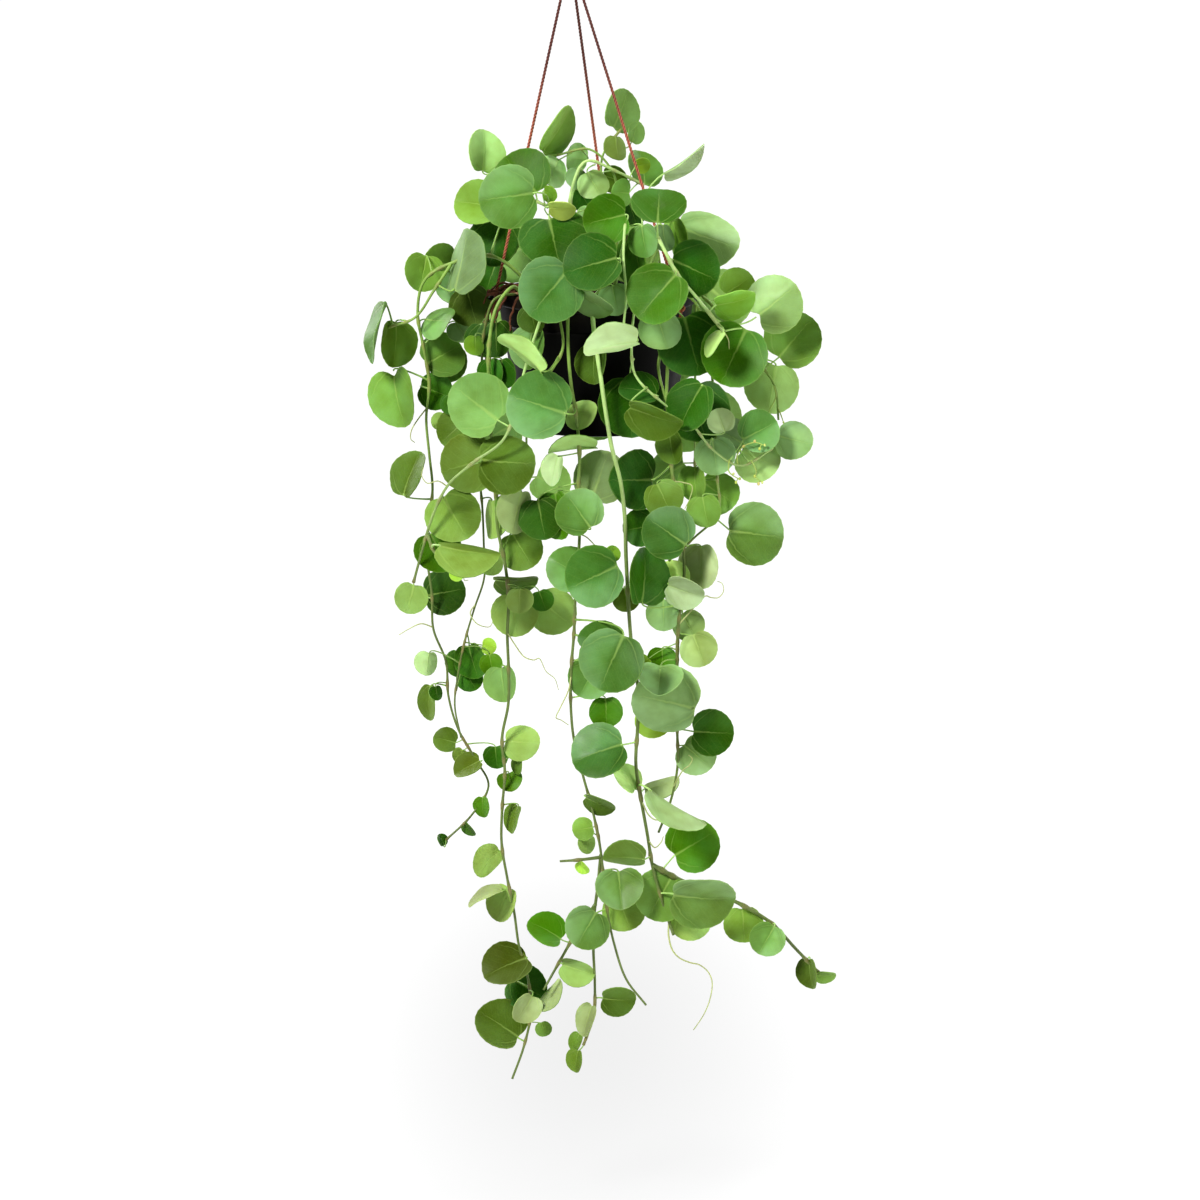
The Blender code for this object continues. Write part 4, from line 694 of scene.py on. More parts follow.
def smooth_route(points, steps=8):
    """A smooth curve through the points, as a dense list of points."""
    ends = [points[0] * 2 - points[1], *points, points[-1] * 2 - points[-2]]
    dense = []
    for a, b, c, d in zip(ends, ends[1:], ends[2:], ends[3:]):
        for step in range(steps):
            t = step / steps
            bend = (2 * a - 5 * b + 4 * c - d) * t * t + (3 * b - 3 * c + d - a) * t**3
            dense.append((2 * b + (c - a) * t + bend) * 0.5)
    return [*dense, points[-1]]


def spaced(points, spacing):
    """Points at even distances along a route, its ends kept."""
    lengths = [0.0]
    for first, second in zip(points, points[1:]):
        lengths.append(lengths[-1] + (second - first).length)
    count = max(2, round(lengths[-1] / spacing))
    result = []
    at = 0
    for number in range(count):
        wanted = lengths[-1] * number / count
        while lengths[at + 1] < wanted:
            at += 1
        share = (wanted - lengths[at]) / (lengths[at + 1] - lengths[at])
        result.append(points[at].lerp(points[at + 1], share))
    return [*result, points[-1]]


def nearest_on(route, point):
    """(distance, place along the route in points, place) of the route's nearest place."""
    best = None
    for number, (first, second) in enumerate(zip(route, route[1:])):
        edge = second - first
        share = min(1.0, max(0.0, (point - first).dot(edge) / edge.length_squared))
        place = first + edge * share
        distance = (place - point).length
        if best is None or distance < best[0]:
            best = (distance, number + share, place)
    return best


def nearest_stem_place(stems, point):
    """The place on these stems that is nearest to the point."""
    return min((nearest_on(stem, point) for stem in stems), key=lambda found: found[0])[2]


def place_at(route, along):
    along = min(max(along, 0.0), len(route) - 1.001)
    first = int(along)
    return route[first].lerp(route[first + 1], along - first)


def tube_faces(points, radii):
    """(corners, faces) of a square tube along the points, for testing what it touches."""
    corners, faces = [], []
    side = None
    for number, (point, radius) in enumerate(zip(points, radii)):
        before = points[max(number - 1, 0)]
        after = points[min(number + 1, len(points) - 1)]
        along = (after - before).normalized()
        side = side or along.orthogonal()
        side = (side - along * side.dot(along)).normalized()
        other = along.cross(side)
        corners += [point + way * radius for way in (side, other, -side, -other)]
        if number:
            first = 4 * (number - 1)
            for k in range(4):
                after = (k + 1) % 4
                faces.append((first + k, first + after, first + 4 + after, first + 4 + k))
    return corners, faces


class Obstacle:
    """A placed piece that later pieces keep clear of."""

    def __init__(self, owner, corners, faces):
        self.owner = owner
        self.tree = BVHTree.FromPolygons(corners, faces)
        self.low = [min(corner[axis] for corner in corners) for axis in range(3)]
        self.high = [max(corner[axis] for corner in corners) for axis in range(3)]

    def meets(self, other):
        for axis in range(3):
            if self.low[axis] > other.high[axis] or self.high[axis] < other.low[axis]:
                return False
        return bool(self.tree.overlap(other.tree))


def obstacle_of(bm, owner):
    corners = [vertex.co.copy() for vertex in bm.verts]
    bm.verts.index_update()
    return Obstacle(owner, corners, [[vertex.index for vertex in face.verts] for face in bm.faces])


def node_obstacle(node, owner):
    """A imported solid, as what later pieces keep clear of."""
    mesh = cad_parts[node].data
    corners = [vertex.co.copy() for vertex in mesh.vertices]
    return Obstacle(owner, corners, [tuple(face.vertices) for face in mesh.polygons])


def soil_obstacle():
    """The soil without the stems' holes."""
    floor = RIM_Z - POT_HEIGHT + WALL + GAP
    corners, faces = [], []
    for height in (SOIL_Z, floor):
        for step in range(SOIL_SIDES):
            corners.append(at_bearing(90 + 360 * step / SOIL_SIDES, inner_radius(height), height))
    for step in range(SOIL_SIDES):
        after = (step + 1) % SOIL_SIDES
        faces.append((step, after, after + SOIL_SIDES, step + SOIL_SIDES))
    faces.append(tuple(range(SOIL_SIDES)))
    faces.append(tuple(range(SOIL_SIDES, 2 * SOIL_SIDES)))
    return Obstacle("soil", corners, faces)


def inner_radius(height):
    """The pot's inner radius at this height, less the gap round the soil."""
    lip = RIM_Z - RIM_LIP_HEIGHT
    floor = RIM_Z - POT_HEIGHT + WALL
    share = (height - floor) / (lip - floor)
    return BASE_RADIUS - WALL + share * (WALL_RADIUS - BASE_RADIUS) - GAP * 1.5


def settle_stem(name, route, radii, obstacles):
    """The route, its points moved along the line of sight until it is clear of the obstacles."""
    padded = [radius + 2 * CLEARANCE for radius in radii]
    shifts = [0.0] * len(route)
    outward = 1.0 if route[-1].y < 0 else -1.0
    for _ in range(STEM_TRIES):
        moved = [point + VIEW_TOWARDS * shift for point, shift in zip(route, shifts)]
        corners, faces = tube_faces(moved, padded)
        tube = Obstacle(name, corners, faces)
        hits = {}
        for obstacle in obstacles:
            if obstacle.owner in (name, "soil") or not tube.meets(obstacle):
                continue
            for face, _ in tube.tree.overlap(obstacle.tree):
                segment = face // 4
                place = (moved[segment] + moved[segment + 1]) * 0.5
                found = obstacle.tree.find_nearest(place)[0]
                ahead = (place - found).dot(VIEW_TOWARDS)
                hits[segment] = outward if obstacle.owner == "pot" else math.copysign(1, ahead)
        hits.pop(0, None)
        if not hits:
            break
        for segment, sign in hits.items():
            for number, share in enumerate((0.4, 1.0, 1.0, 0.4), segment - 1):
                if 1 < number < len(shifts):
                    shifts[number] += sign * share * STEM_NUDGE
    return [point + VIEW_TOWARDS * shift for point, shift in zip(route, shifts)]


def outline(turn, size):
    """A leaf's edge at an angle from its tip: round, with a shallow notch where the stalk joins."""
    notch = LEAF_NOTCH * math.exp(-(((math.pi - abs(turn)) / LEAF_NOTCH_WIDTH) ** 2))
    radius = LEAF_RADIUS * size * (1 - notch)
    return LEAF_BREADTH * radius * math.sin(turn), LEAF_CENTRE * size + radius * math.cos(turn)


def rise(across, along, size):
    """The blade's height over its flat: folded up from the midrib, and curled down to the tip."""
    return LEAF_FOLD * abs(across) - LEAF_CURL * size * (along / size - 0.2) ** 2


def blade_points(size):
    if size > LARGE_LEAF:
        return 9
    return 8 if size > SMALL_LEAF else 7


def leaf_axes(clock, pitch, roll):
    """The blade's own right, forward and up directions."""
    clock, pitch, roll = (math.radians(angle) for angle in (clock, pitch, roll))
    along = VIEW_RIGHT * math.sin(clock) + VIEW_UP * math.cos(clock)
    across = VIEW_RIGHT * math.cos(clock) - VIEW_UP * math.sin(clock)
    tip = along * math.cos(pitch) + VIEW_TOWARDS * math.sin(pitch)
    face = VIEW_TOWARDS * math.cos(pitch) - along * math.sin(pitch)
    side = across * math.cos(roll) - face * math.sin(roll)
    return side, tip, face * math.cos(roll) + across * math.sin(roll)


def petiole_path(base, tip_way, joint):
    """A leaf stalk's points, from the blade to the middle of the stem."""
    length = (joint - base).length
    onward = -tip_way.dot(joint - base) / length
    if onward < 0.25:
        return [base, base - tip_way * max(length * 0.35, 0.006), joint]
    if length < STRAIGHT_PETIOLE:
        return [base, joint]
    bend = base - tip_way * length * 0.45
    return [base, base * 0.25 + bend * 0.5 + joint * 0.25, joint]


def leaf_solid(size, axes, centre, joint, extra=0.0):
    """One leaf as a closed solid: the blade, and its stalk drawn out of the blade's base."""
    side, tip, face = axes
    count = blade_points(size)
    half = PETIOLE_HALF + extra
    bm = bmesh.new()
    bmesh.ops.create_circle(bm, cap_ends=True, cap_tris=True, segments=count, radius=1)
    edge_turn = math.pi - half / (LEAF_RADIUS * size * (1 - LEAF_NOTCH))
    ring = sorted((v for v in bm.verts if v.co.length > 0.5), key=lambda v: math.atan2(v.co.y, v.co.x))
    for number, vertex in enumerate(ring):
        across, along = outline(edge_turn - 2 * edge_turn * number / (count - 1), size)
        vertex.co = (across, along, rise(across, along, size))
    for vertex in set(bm.verts) - set(ring):
        vertex.co = (0, LEAF_CENTRE * size, rise(0, LEAF_CENTRE * size, size))
    bmesh.ops.recalc_face_normals(bm, faces=bm.faces[:])
    bmesh.ops.solidify(bm, geom=bm.faces[:], thickness=LEAF_THICKNESS + 2 * extra)
    bmesh.ops.translate(bm, verts=bm.verts[:], vec=(0, 0, extra))
    rim = [face for face in bm.faces if len(face.verts) == 4]
    base = min(rim, key=lambda face: face.calc_center_median().length)
    place = Matrix((side, tip, face)).transposed().to_4x4()
    place.translation = centre - tip * LEAF_CENTRE * size
    bmesh.ops.transform(bm, matrix=place, verts=bm.verts[:])
    start = base.calc_center_median()
    before = -tip
    right, up = side.copy(), face.copy()
    points = petiole_path(start, tip, joint)
    for number, point in enumerate(points[1:], 1):
        after = points[min(number + 1, len(points) - 1)] - points[number - 1]
        turn = before.rotation_difference(after.normalized())
        middle = base.calc_center_median()
        corners = [[(v.co - middle).dot(way) for v in base.verts] for way in (right, up)]
        right.rotate(turn)
        up.rotate(turn)
        base = bmesh.ops.extrude_discrete_faces(bm, faces=[base])["faces"][0]
        for vertex, across, upward in zip(base.verts, *corners):
            vertex.co = point + right * math.copysign(half, across) + up * math.copysign(half, upward)
        before = after.normalized()
    bmesh.ops.recalc_face_normals(bm, faces=bm.faces[:])
    return bm


def settle_leaf(name, stems, leaf, obstacles):
    """The leaf's (size, axes, centre, joint) where it is clear of the other vines.

    It is moved along the line of sight as needed. Nothing is given where no place is clear.
    """
    across, drop, size, clock, pitch, roll, forward = leaf
    size *= MM
    axes = leaf_axes(clock, pitch, roll)
    shifts = [0]
    for step in range(LEAF_SHIFT_STEP, LEAF_SHIFT_MOST + 1, LEAF_SHIFT_STEP):
        shifts += [-step, step]
    best = None
    for shift in shifts:
        centre = seen_at(across, drop, forward + shift)
        base = centre - axes[1] * LEAF_CENTRE * size
        stem = min(stems, key=lambda route: nearest_on(route, base)[0])
        along = nearest_on(stem, base)[1]
        for slide in JOINT_SLIDES:
            joint = place_at(stem, along + slide)
            trial = leaf_solid(size, axes, centre, joint, CLEARANCE)
            tested = obstacle_of(trial, name)
            trial.free()
            score = abs(shift) + SLIDE_COST * abs(slide)
            for obstacle in obstacles:
                if tested.meets(obstacle):
                    score += OWN_TOUCH_COST if obstacle.owner == name else OTHER_TOUCH_COST
            if best is None or score < best[0]:
                best = (score, centre, joint)
            if score < abs(shift) + GOOD_ENOUGH:
                break
        if best[0] < abs(shift) + GOOD_ENOUGH:
            break
    if best[0] >= OTHER_TOUCH_COST:
        return None
    return size, axes, best[1], best[2]


def stem_radii(count, radius):
    return [radius * (1 - (1 - STEM_TIP_SHARE) * number / (count - 1)) for number in range(count)]


def vine_routes(vine):
    """The vine's stems as evenly spaced points, the first one rising out of the soil."""
    root = on_soil(*vine["root"], -ROOT_DEPTH)
    collar = on_soil(*vine["root"], COLLAR_HEIGHT)
    stems = []
    for number, route in enumerate(vine["routes"]):
        points = [seen_at(*point) for point in route]
        if number == 0:
            dense = smooth_route([root, collar, *points])[8:]
            stems.append([root, *spaced(dense, STEM_SPACING)])
        else:
            points[0] = nearest_stem_place(stems, points[0])
            stems.append(spaced(smooth_route(points), STEM_SPACING))
    return stems


def back_vine_route(bearing, length):
    """A stem that rises from the soil, tops the rim at the back and hangs behind the pot."""
    bearing += 180
    crest_radius, crest_height = BACK_CREST
    hang = [
        at_bearing(bearing, BACK_HANG_RADIUS, RIM_Z - length * share)
        for share in (0.08, 0.25, 0.5, 0.75, 1.0)
    ]
    root = at_bearing(bearing, BACK_ROOT_RADIUS, SOIL_Z - ROOT_DEPTH)
    collar = at_bearing(bearing, BACK_ROOT_RADIUS, SOIL_Z + COLLAR_HEIGHT)
    crest = at_bearing(bearing, crest_radius, RIM_Z + crest_height)
    over = at_bearing(bearing, BACK_HANG_RADIUS - 0.003, RIM_Z + 0.018)
    dense = smooth_route([root, collar, crest, over, *hang])[8:]
    return [root, *spaced(dense, STEM_SPACING)]


def reading_of(point):
    """The inverse of seen_at: how a point reads from the front, in millimetres."""
    eye = VIEW_POINT + VIEW_DISTANCE * VIEW_TOWARDS
    ray = point - eye
    ray *= -VIEW_DISTANCE / ray.dot(VIEW_TOWARDS)
    place = eye + ray - VIEW_POINT
    across = VIEW_READING[0] + place.dot(VIEW_RIGHT) / MM
    return across, VIEW_READING[1] - place.dot(VIEW_UP) / MM, -point.y / MM


def back_vine_leaves(stem, count, draw):
    """Leaves in turn to the left and right of a back stem, facing away from the pot."""
    leaves = []
    largest, smallest = BACK_LEAF_SIZES
    for number in range(count):
        share = (number + 0.5) / count
        size = (largest + (smallest - largest) * share) * draw.uniform(0.9, 1.1)
        joint = place_at(stem, 2 + share * (len(stem) - 2.5))
        side = 1 if number % 2 else -1
        across, drop, forward = reading_of(joint)
        clock = 180 - side * draw.uniform(50, 80)
        reach = 0.62 * size / MM
        across += reach * math.sin(math.radians(clock))
        drop -= reach * math.cos(math.radians(clock))
        roll = 180 + draw.uniform(-25, 25)
        pitch = draw.uniform(-25, 5)
        leaves.append((across, drop, size / MM, clock, pitch, roll, forward - draw.uniform(2, 14)))
    return leaves


def grow_vines(obstacles):
    """Each vine's stems and leaves, clear of each other: stems first, then front leaves first."""
    grown = {}
    draw = random.Random(5)
    waiting, young = [], []
    for name, vine in VINES.items():
        stems = vine_routes(vine)
        waiting += [(name, *reading) for reading in zip(vine["leaves"], vine["tones"], strict=True)]
        for place, tone in zip(vine.get("young", []), vine.get("young_tones", ""), strict=True):
            young.append((name, place, tone))
        grown[name] = dict(stems=stems, radius=vine["radius"] * MM, leaves=[])
    waiting.sort(key=lambda entry: -entry[1][6])
    for name, (bearing, length, count) in BACK_VINES.items():
        stem = back_vine_route(bearing, length)
        waiting += [(name, leaf, None) for leaf in back_vine_leaves(stem, count, draw)]
        grown[name] = dict(stems=[stem], radius=BACK_STEM_RADIUS, leaves=[])
    for name, vine in grown.items():
        for number, stem in enumerate(vine["stems"]):
            radii = stem_radii(len(stem), vine["radius"])
            if number:
                stem[0] = nearest_stem_place(vine["stems"][:number], stem[0])
            vine["stems"][number] = settle_stem(name, stem, radii, obstacles)
            obstacles.append(Obstacle(name, *tube_faces(vine["stems"][number], radii)))
    stem_trees = [obstacle for obstacle in obstacles if obstacle.owner in grown]
    for name, leaf, tone in waiting + young:
        others = [o for o in obstacles if o.owner != name or o not in stem_trees]
        settled = settle_leaf(name, grown[name]["stems"], leaf, others)
        if settled:
            grown[name]["leaves"].append((leaf, tone, settled))
            solid = leaf_solid(*settled)
            obstacles.append(obstacle_of(solid, name))
            solid.free()
    return grown


# Handling


def deselect():
    bpy.ops.object.select_all(action="DESELECT")


def take(*pieces):
    """Select only these pieces, the first one active."""
    deselect()
    for piece in pieces:
        piece.select_set(True)
    bpy.context.view_layer.objects.active = pieces[0]


def joined(name, *pieces):
    take(*pieces)
    if len(pieces) > 1:
        bpy.ops.object.join()
    pieces[0].name = name
    return pieces[0]


def copy_of(piece, name):
    twin = piece.copy()
    twin.data = piece.data.copy()
    twin.name = name
    bpy.context.scene.collection.objects.link(twin)
    return twin


def shade(piece, angle):
    take(piece)
    bpy.ops.object.shade_smooth_by_angle(angle=math.radians(angle))


def finish_with(piece, kind, **settings):
    """Add a modifier with these settings and apply it."""
    take(piece)
    change = piece.modifiers.new(kind.lower(), kind)
    for setting, value in settings.items():
        setattr(change, setting, value)
    bpy.ops.object.modifier_apply(modifier=change.name)


def corners_of(piece):
    places = np.empty(len(piece.data.vertices) * 3)
    piece.data.vertices.foreach_get("co", places)
    return places.reshape(-1, 3)


def set_corners(piece, places):
    piece.data.vertices.foreach_set("co", np.asarray(places, float).ravel())
    piece.data.update()


def paint(piece, attribute, colours, alphas=1.0):
    """A colour for each vertex, or one for all."""
    layer = piece.data.color_attributes.new(name=attribute, type="FLOAT_COLOR", domain="POINT")
    rows = np.empty((len(piece.data.vertices), 4))
    rows[:, :3] = colours
    rows[:, 3] = alphas
    layer.data.foreach_set("color", rows.ravel())


def paint_between(piece, low, high, share):
    """Paint the piece from one sRGB colour to another, by a share at each vertex."""
    low, high = np.array(linear(low)), np.array(linear(high))
    paint(piece, "tint", low + (high - low) * share[:, None])


def coated(piece, *finishes):
    """The piece with these materials alone."""
    piece.data.materials.clear()
    for finish in finishes:
        piece.data.materials.append(finish)
    return piece


def belongs(piece, slot, *nodes):
    """A finished piece rides on the plant and stands for its nodes, which are hidden. The slot is not
    used.
    """
    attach(piece, "root")
    if nodes:
        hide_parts(*nodes)
    return piece


def edit_all():
    """Open the active piece for editing, all of it selected."""
    bpy.ops.object.mode_set(mode="EDIT")
    bpy.ops.mesh.select_all(action="SELECT")


def faces_outwards():
    """Turn the edited piece's faces outwards and leave it."""
    bpy.ops.mesh.select_all(action="SELECT")
    bpy.ops.mesh.normals_make_consistent(inside=False)
    bpy.ops.object.mode_set(mode="OBJECT")


def select_open_edges():
    bpy.ops.mesh.select_all(action="DESELECT")
    bpy.ops.mesh.select_non_manifold()


def turned(name, profile, sides, centre=(POT_AXIS_X, 0.0), closed=False):
    """A ring at the profile's first (radius, height), drawn out to each next one."""
    deselect()
    radius, height = profile[0]
    bpy.ops.mesh.primitive_circle_add(vertices=sides, radius=radius, location=(*centre, height))
    piece = bpy.context.object
    piece.name = name
    bpy.ops.object.transform_apply(location=True, rotation=True, scale=True)
    bpy.ops.object.mode_set(mode="EDIT")
    bpy.ops.mesh.select_mode(type="EDGE")
    bpy.ops.mesh.select_all(action="SELECT")
    for wider, level in profile[1:]:
        bpy.ops.mesh.extrude_region_move(TRANSFORM_OT_translate={"value": (0, 0, level - height)})
        bpy.ops.transform.resize(
            value=(wider / radius, wider / radius, 1), center_override=(*centre, level)
        )
        radius, height = wider, level
    select_open_edges()
    if closed:
        bpy.ops.mesh.bridge_edge_loops()
    else:
        bpy.ops.mesh.fill_holes(sides=0)
    faces_outwards()
    return piece


def combined(piece, tool, operation):
    """The piece with the tool cut out of it or welded on, and the tool used up."""
    finish_with(piece, "BOOLEAN", operation=operation, object=tool, solver="EXACT")
    bpy.data.objects.remove(tool)


def strands(name, routes, sides=2, closed=False):
    """Round strands as one mesh, each along its points with a radius at every point."""
    curve = bpy.data.curves.new(name, "CURVE")
    curve.dimensions = "3D"
    curve.bevel_depth = 1.0
    curve.bevel_resolution = sides
    curve.use_fill_caps = not closed
    for points, radii in routes:
        spline = curve.splines.new("POLY")
        spline.points.add(len(points) - 1)
        spline.use_cyclic_u = closed
        for knot, point, radius in zip(spline.points, points, radii):
            knot.co = (*point, 1)
            knot.radius = radius
    piece = bpy.data.objects.new(name, curve)
    bpy.context.scene.collection.objects.link(piece)
    take(piece)
    bpy.ops.object.convert(target="MESH")
    piece = bpy.context.object
    edit_all()
    bpy.ops.mesh.remove_doubles(threshold=0.000002)
    faces_outwards()
    bpy.ops.object.shade_smooth()
    return piece


def thinning(line, radius, whole, loss):
    """A line with a radius at each point, thinner to its end."""
    return line, [radius * (whole - loss * n / len(line)) for n in range(len(line))]


# Finishes


def add_node(tree, kind, feeds=None, **settings):
    """A node with its settings, its inputs set or fed from other nodes' outputs."""
    node = tree.nodes.new(kind)
    for setting, value in settings.items():
        setattr(node, setting, value)
    for entry, value in (feeds or {}).items():
        if isinstance(value, bpy.types.NodeSocket):
            tree.links.new(value, node.inputs[entry])
        else:
            node.inputs[entry].default_value = value
    return node


def maths(tree, operation, *values):
    return add_node(tree, "ShaderNodeMath", dict(enumerate(values)), operation=operation).outputs[0]


def vector_maths(tree, operation, *values):
    return add_node(tree, "ShaderNodeVectorMath", dict(enumerate(values)), operation=operation).outputs


def blended(tree, share, first, second, kind="MIX"):
    """Two colours mixed by a share."""
    feeds = {0: share, 6: first, 7: second}
    return add_node(tree, "ShaderNodeMix", feeds, data_type="RGBA", blend_type=kind).outputs[2]


def ranged(tree, value, low, high, to_low=0.0, to_high=1.0, smooth=False):
    """A value carried over from one range to another, and held at its ends."""
    return add_node(
        tree,
        "ShaderNodeMapRange",
        {"Value": value, "From Min": low, "From Max": high, "To Min": to_low, "To Max": to_high},
        interpolation_type="SMOOTHSTEP" if smooth else "LINEAR",
    ).outputs[0]


def shade_of(*colour):
    return (*linear(colour), 1.0)


def painted(tree, attribute="tint"):
    """The colour that is painted on the piece's own vertices."""
    return add_node(tree, "ShaderNodeAttribute", attribute_name=attribute).outputs["Color"]


def own_place(tree):
    return tree.nodes.new("ShaderNodeTexCoord").outputs["Object"]


def own_height(tree):
    return add_node(tree, "ShaderNodeSeparateXYZ", {0: own_place(tree)}).outputs[2]


def new_group(name, inputs, outputs):
    """A node group, its inputs' outlets and its outputs' inlets."""
    group = bpy.data.node_groups.new(name, "ShaderNodeTree")
    for entry, kind, default in inputs:
        socket = group.interface.new_socket(entry, in_out="INPUT", socket_type=kind)
        if default is not None:
            socket.default_value = default
    for entry, kind in outputs:
        group.interface.new_socket(entry, in_out="OUTPUT", socket_type=kind)
    return group, group.nodes.new("NodeGroupInput").outputs, group.nodes.new("NodeGroupOutput").inputs


def make_vein_group():
    """Veins that fan out from the stalk and arch to the tip, and a finer branching between them."""
    tree, given, out = new_group(
        "leaf_veins",
        [("Blade", "NodeSocketVector", None), ("Width", "NodeSocketFloat", 0.016)],
        [("Main", "NodeSocketFloat"), ("Fine", "NodeSocketFloat"), ("Valley", "NodeSocketFloat")],
    )
    across, along, _ = add_node(tree, "ShaderNodeSeparateXYZ", {0: given["Blade"]}).outputs
    far = vector_maths(tree, "LENGTH", given["Blade"])["Value"]
    sway = add_node(tree, "ShaderNodeTexNoise", {"Vector": given["Blade"], "Scale": 5.0, "Detail": 2.0})
    sway = ranged(tree, sway.outputs[0], 0.0, 1.0, -0.09, 0.09)
    turn = maths(tree, "ARCTAN2", across, along)
    arched = maths(tree, "MULTIPLY", turn, maths(tree, "MULTIPLY_ADD", far, 0.45, 0.5))
    fan = maths(tree, "DIVIDE", arched, VEIN_ANGLE)
    apart = maths(tree, "PINGPONG", maths(tree, "ADD", fan, sway), 0.5)
    aside = maths(tree, "MULTIPLY", maths(tree, "MULTIPLY", apart, VEIN_ANGLE), far)
    taper = ranged(tree, far, 0.0, 0.95, 1.5, 0.30)
    middle = ranged(tree, maths(tree, "ABSOLUTE", fan), 0.35, 0.65, 1.0, 0.0)
    width = maths(tree, "MULTIPLY", given["Width"], taper)
    width = maths(tree, "MULTIPLY", width, ranged(tree, middle, 0, 1, 0.6, 1.0))
    main = ranged(tree, maths(tree, "DIVIDE", aside, width), 0.2, 1.5, 1.0, 0.0, smooth=True)
    front = ranged(tree, maths(tree, "ABSOLUTE", turn), 1.7, 2.2, 1.0, 0.0)
    valley = ranged(tree, aside, 0.0, 0.07, 1.0, 0.0, smooth=True)
    valley = maths(tree, "MULTIPLY", valley, ranged(tree, far, 0.15, 0.95, 1.0, 0.2))
    tree.links.new(maths(tree, "MULTIPLY", valley, front), out["Valley"])
    fade = ranged(tree, far, 0.25, 0.95, 1.0, 0.22)
    strong = maths(tree, "MULTIPLY", fade, ranged(tree, middle, 0, 1, 0.5, 1.0))
    main = maths(tree, "MULTIPLY", maths(tree, "MULTIPLY", main, front), strong)
    heart = ranged(tree, far, 0.02, 0.09, 1.0, 0.0, smooth=True)
    tree.links.new(maths(tree, "MAXIMUM", main, heart), out["Main"])
    slope = maths(tree, "MULTIPLY", maths(tree, "ABSOLUTE", across), 0.85)
    slant = maths(tree, "DIVIDE", maths(tree, "SUBTRACT", along, slope), SIDE_VEIN_SPACING)
    slant = maths(tree, "ADD", slant, maths(tree, "MULTIPLY", sway, 2.6))
    side = maths(tree, "MULTIPLY", maths(tree, "PINGPONG", slant, 0.5), SIDE_VEIN_SPACING)
    side = ranged(tree, side, 0.002, 0.009, 0.75, 0.0, smooth=True)
    cells = {"Vector": given["Blade"], "Scale": 24.0}
    net = add_node(tree, "ShaderNodeTexVoronoi", cells, feature="DISTANCE_TO_EDGE").outputs[0]
    net = ranged(tree, net, 0.01, 0.07, 0.45, 0.0, smooth=True)
    tree.links.new(maths(tree, "MAXIMUM", side, net), out["Fine"])
    return tree


def make_mottle_group():
    """Soft patches of lighter and darker, and fine grain, both from 0 to 1."""
    tree, given, out = new_group(
        "mottling",
        [("Patches", "NodeSocketFloat", 40.0), ("Grain", "NodeSocketFloat", 400.0)],
        [("Patch", "NodeSocketFloat"), ("Fleck", "NodeSocketFloat")],
    )
    place = own_place(tree)
    for entry, exit_name, detail in (("Patches", "Patch", 3.0), ("Grain", "Fleck", 2.0)):
        feeds = {"Vector": place, "Scale": given[entry], "Detail": detail}
        field = add_node(tree, "ShaderNodeTexNoise", feeds)
        tree.links.new(ranged(tree, field.outputs[0], 0.28, 0.72), out[exit_name])
    return tree


def new_finish(name, groups, patches, grain):
    """A material with its node tree, its shader's inlets, and mottling of these scales."""
    finish = bpy.data.materials.new(name)
    finish.use_nodes = True
    tree = finish.node_tree
    scales = {"Patches": patches, "Grain": grain}
    mottle = add_node(tree, "ShaderNodeGroup", scales, node_tree=groups["mottle"]).outputs
    return finish, tree, tree.nodes["Principled BSDF"].inputs, mottle["Patch"], mottle["Fleck"]


def covered(tree, shader, body, dull, height, distance, strength):
    """Give the shader its colour, its roughness and its fine relief."""
    tree.links.new(body, shader["Base Color"])
    tree.links.new(dull, shader["Roughness"])
    feeds = {"Height": height, "Distance": distance, "Strength": strength}
    tree.links.new(add_node(tree, "ShaderNodeBump", feeds).outputs[0], shader["Normal"])


def lightened(tree, colour, share, darkest, lightest):
    """A colour made darker and lighter by a share."""
    feeds = {"Value": ranged(tree, share, 0, 1, darkest, lightest), "Color": colour}
    return add_node(tree, "ShaderNodeHueSaturation", feeds).outputs[0]


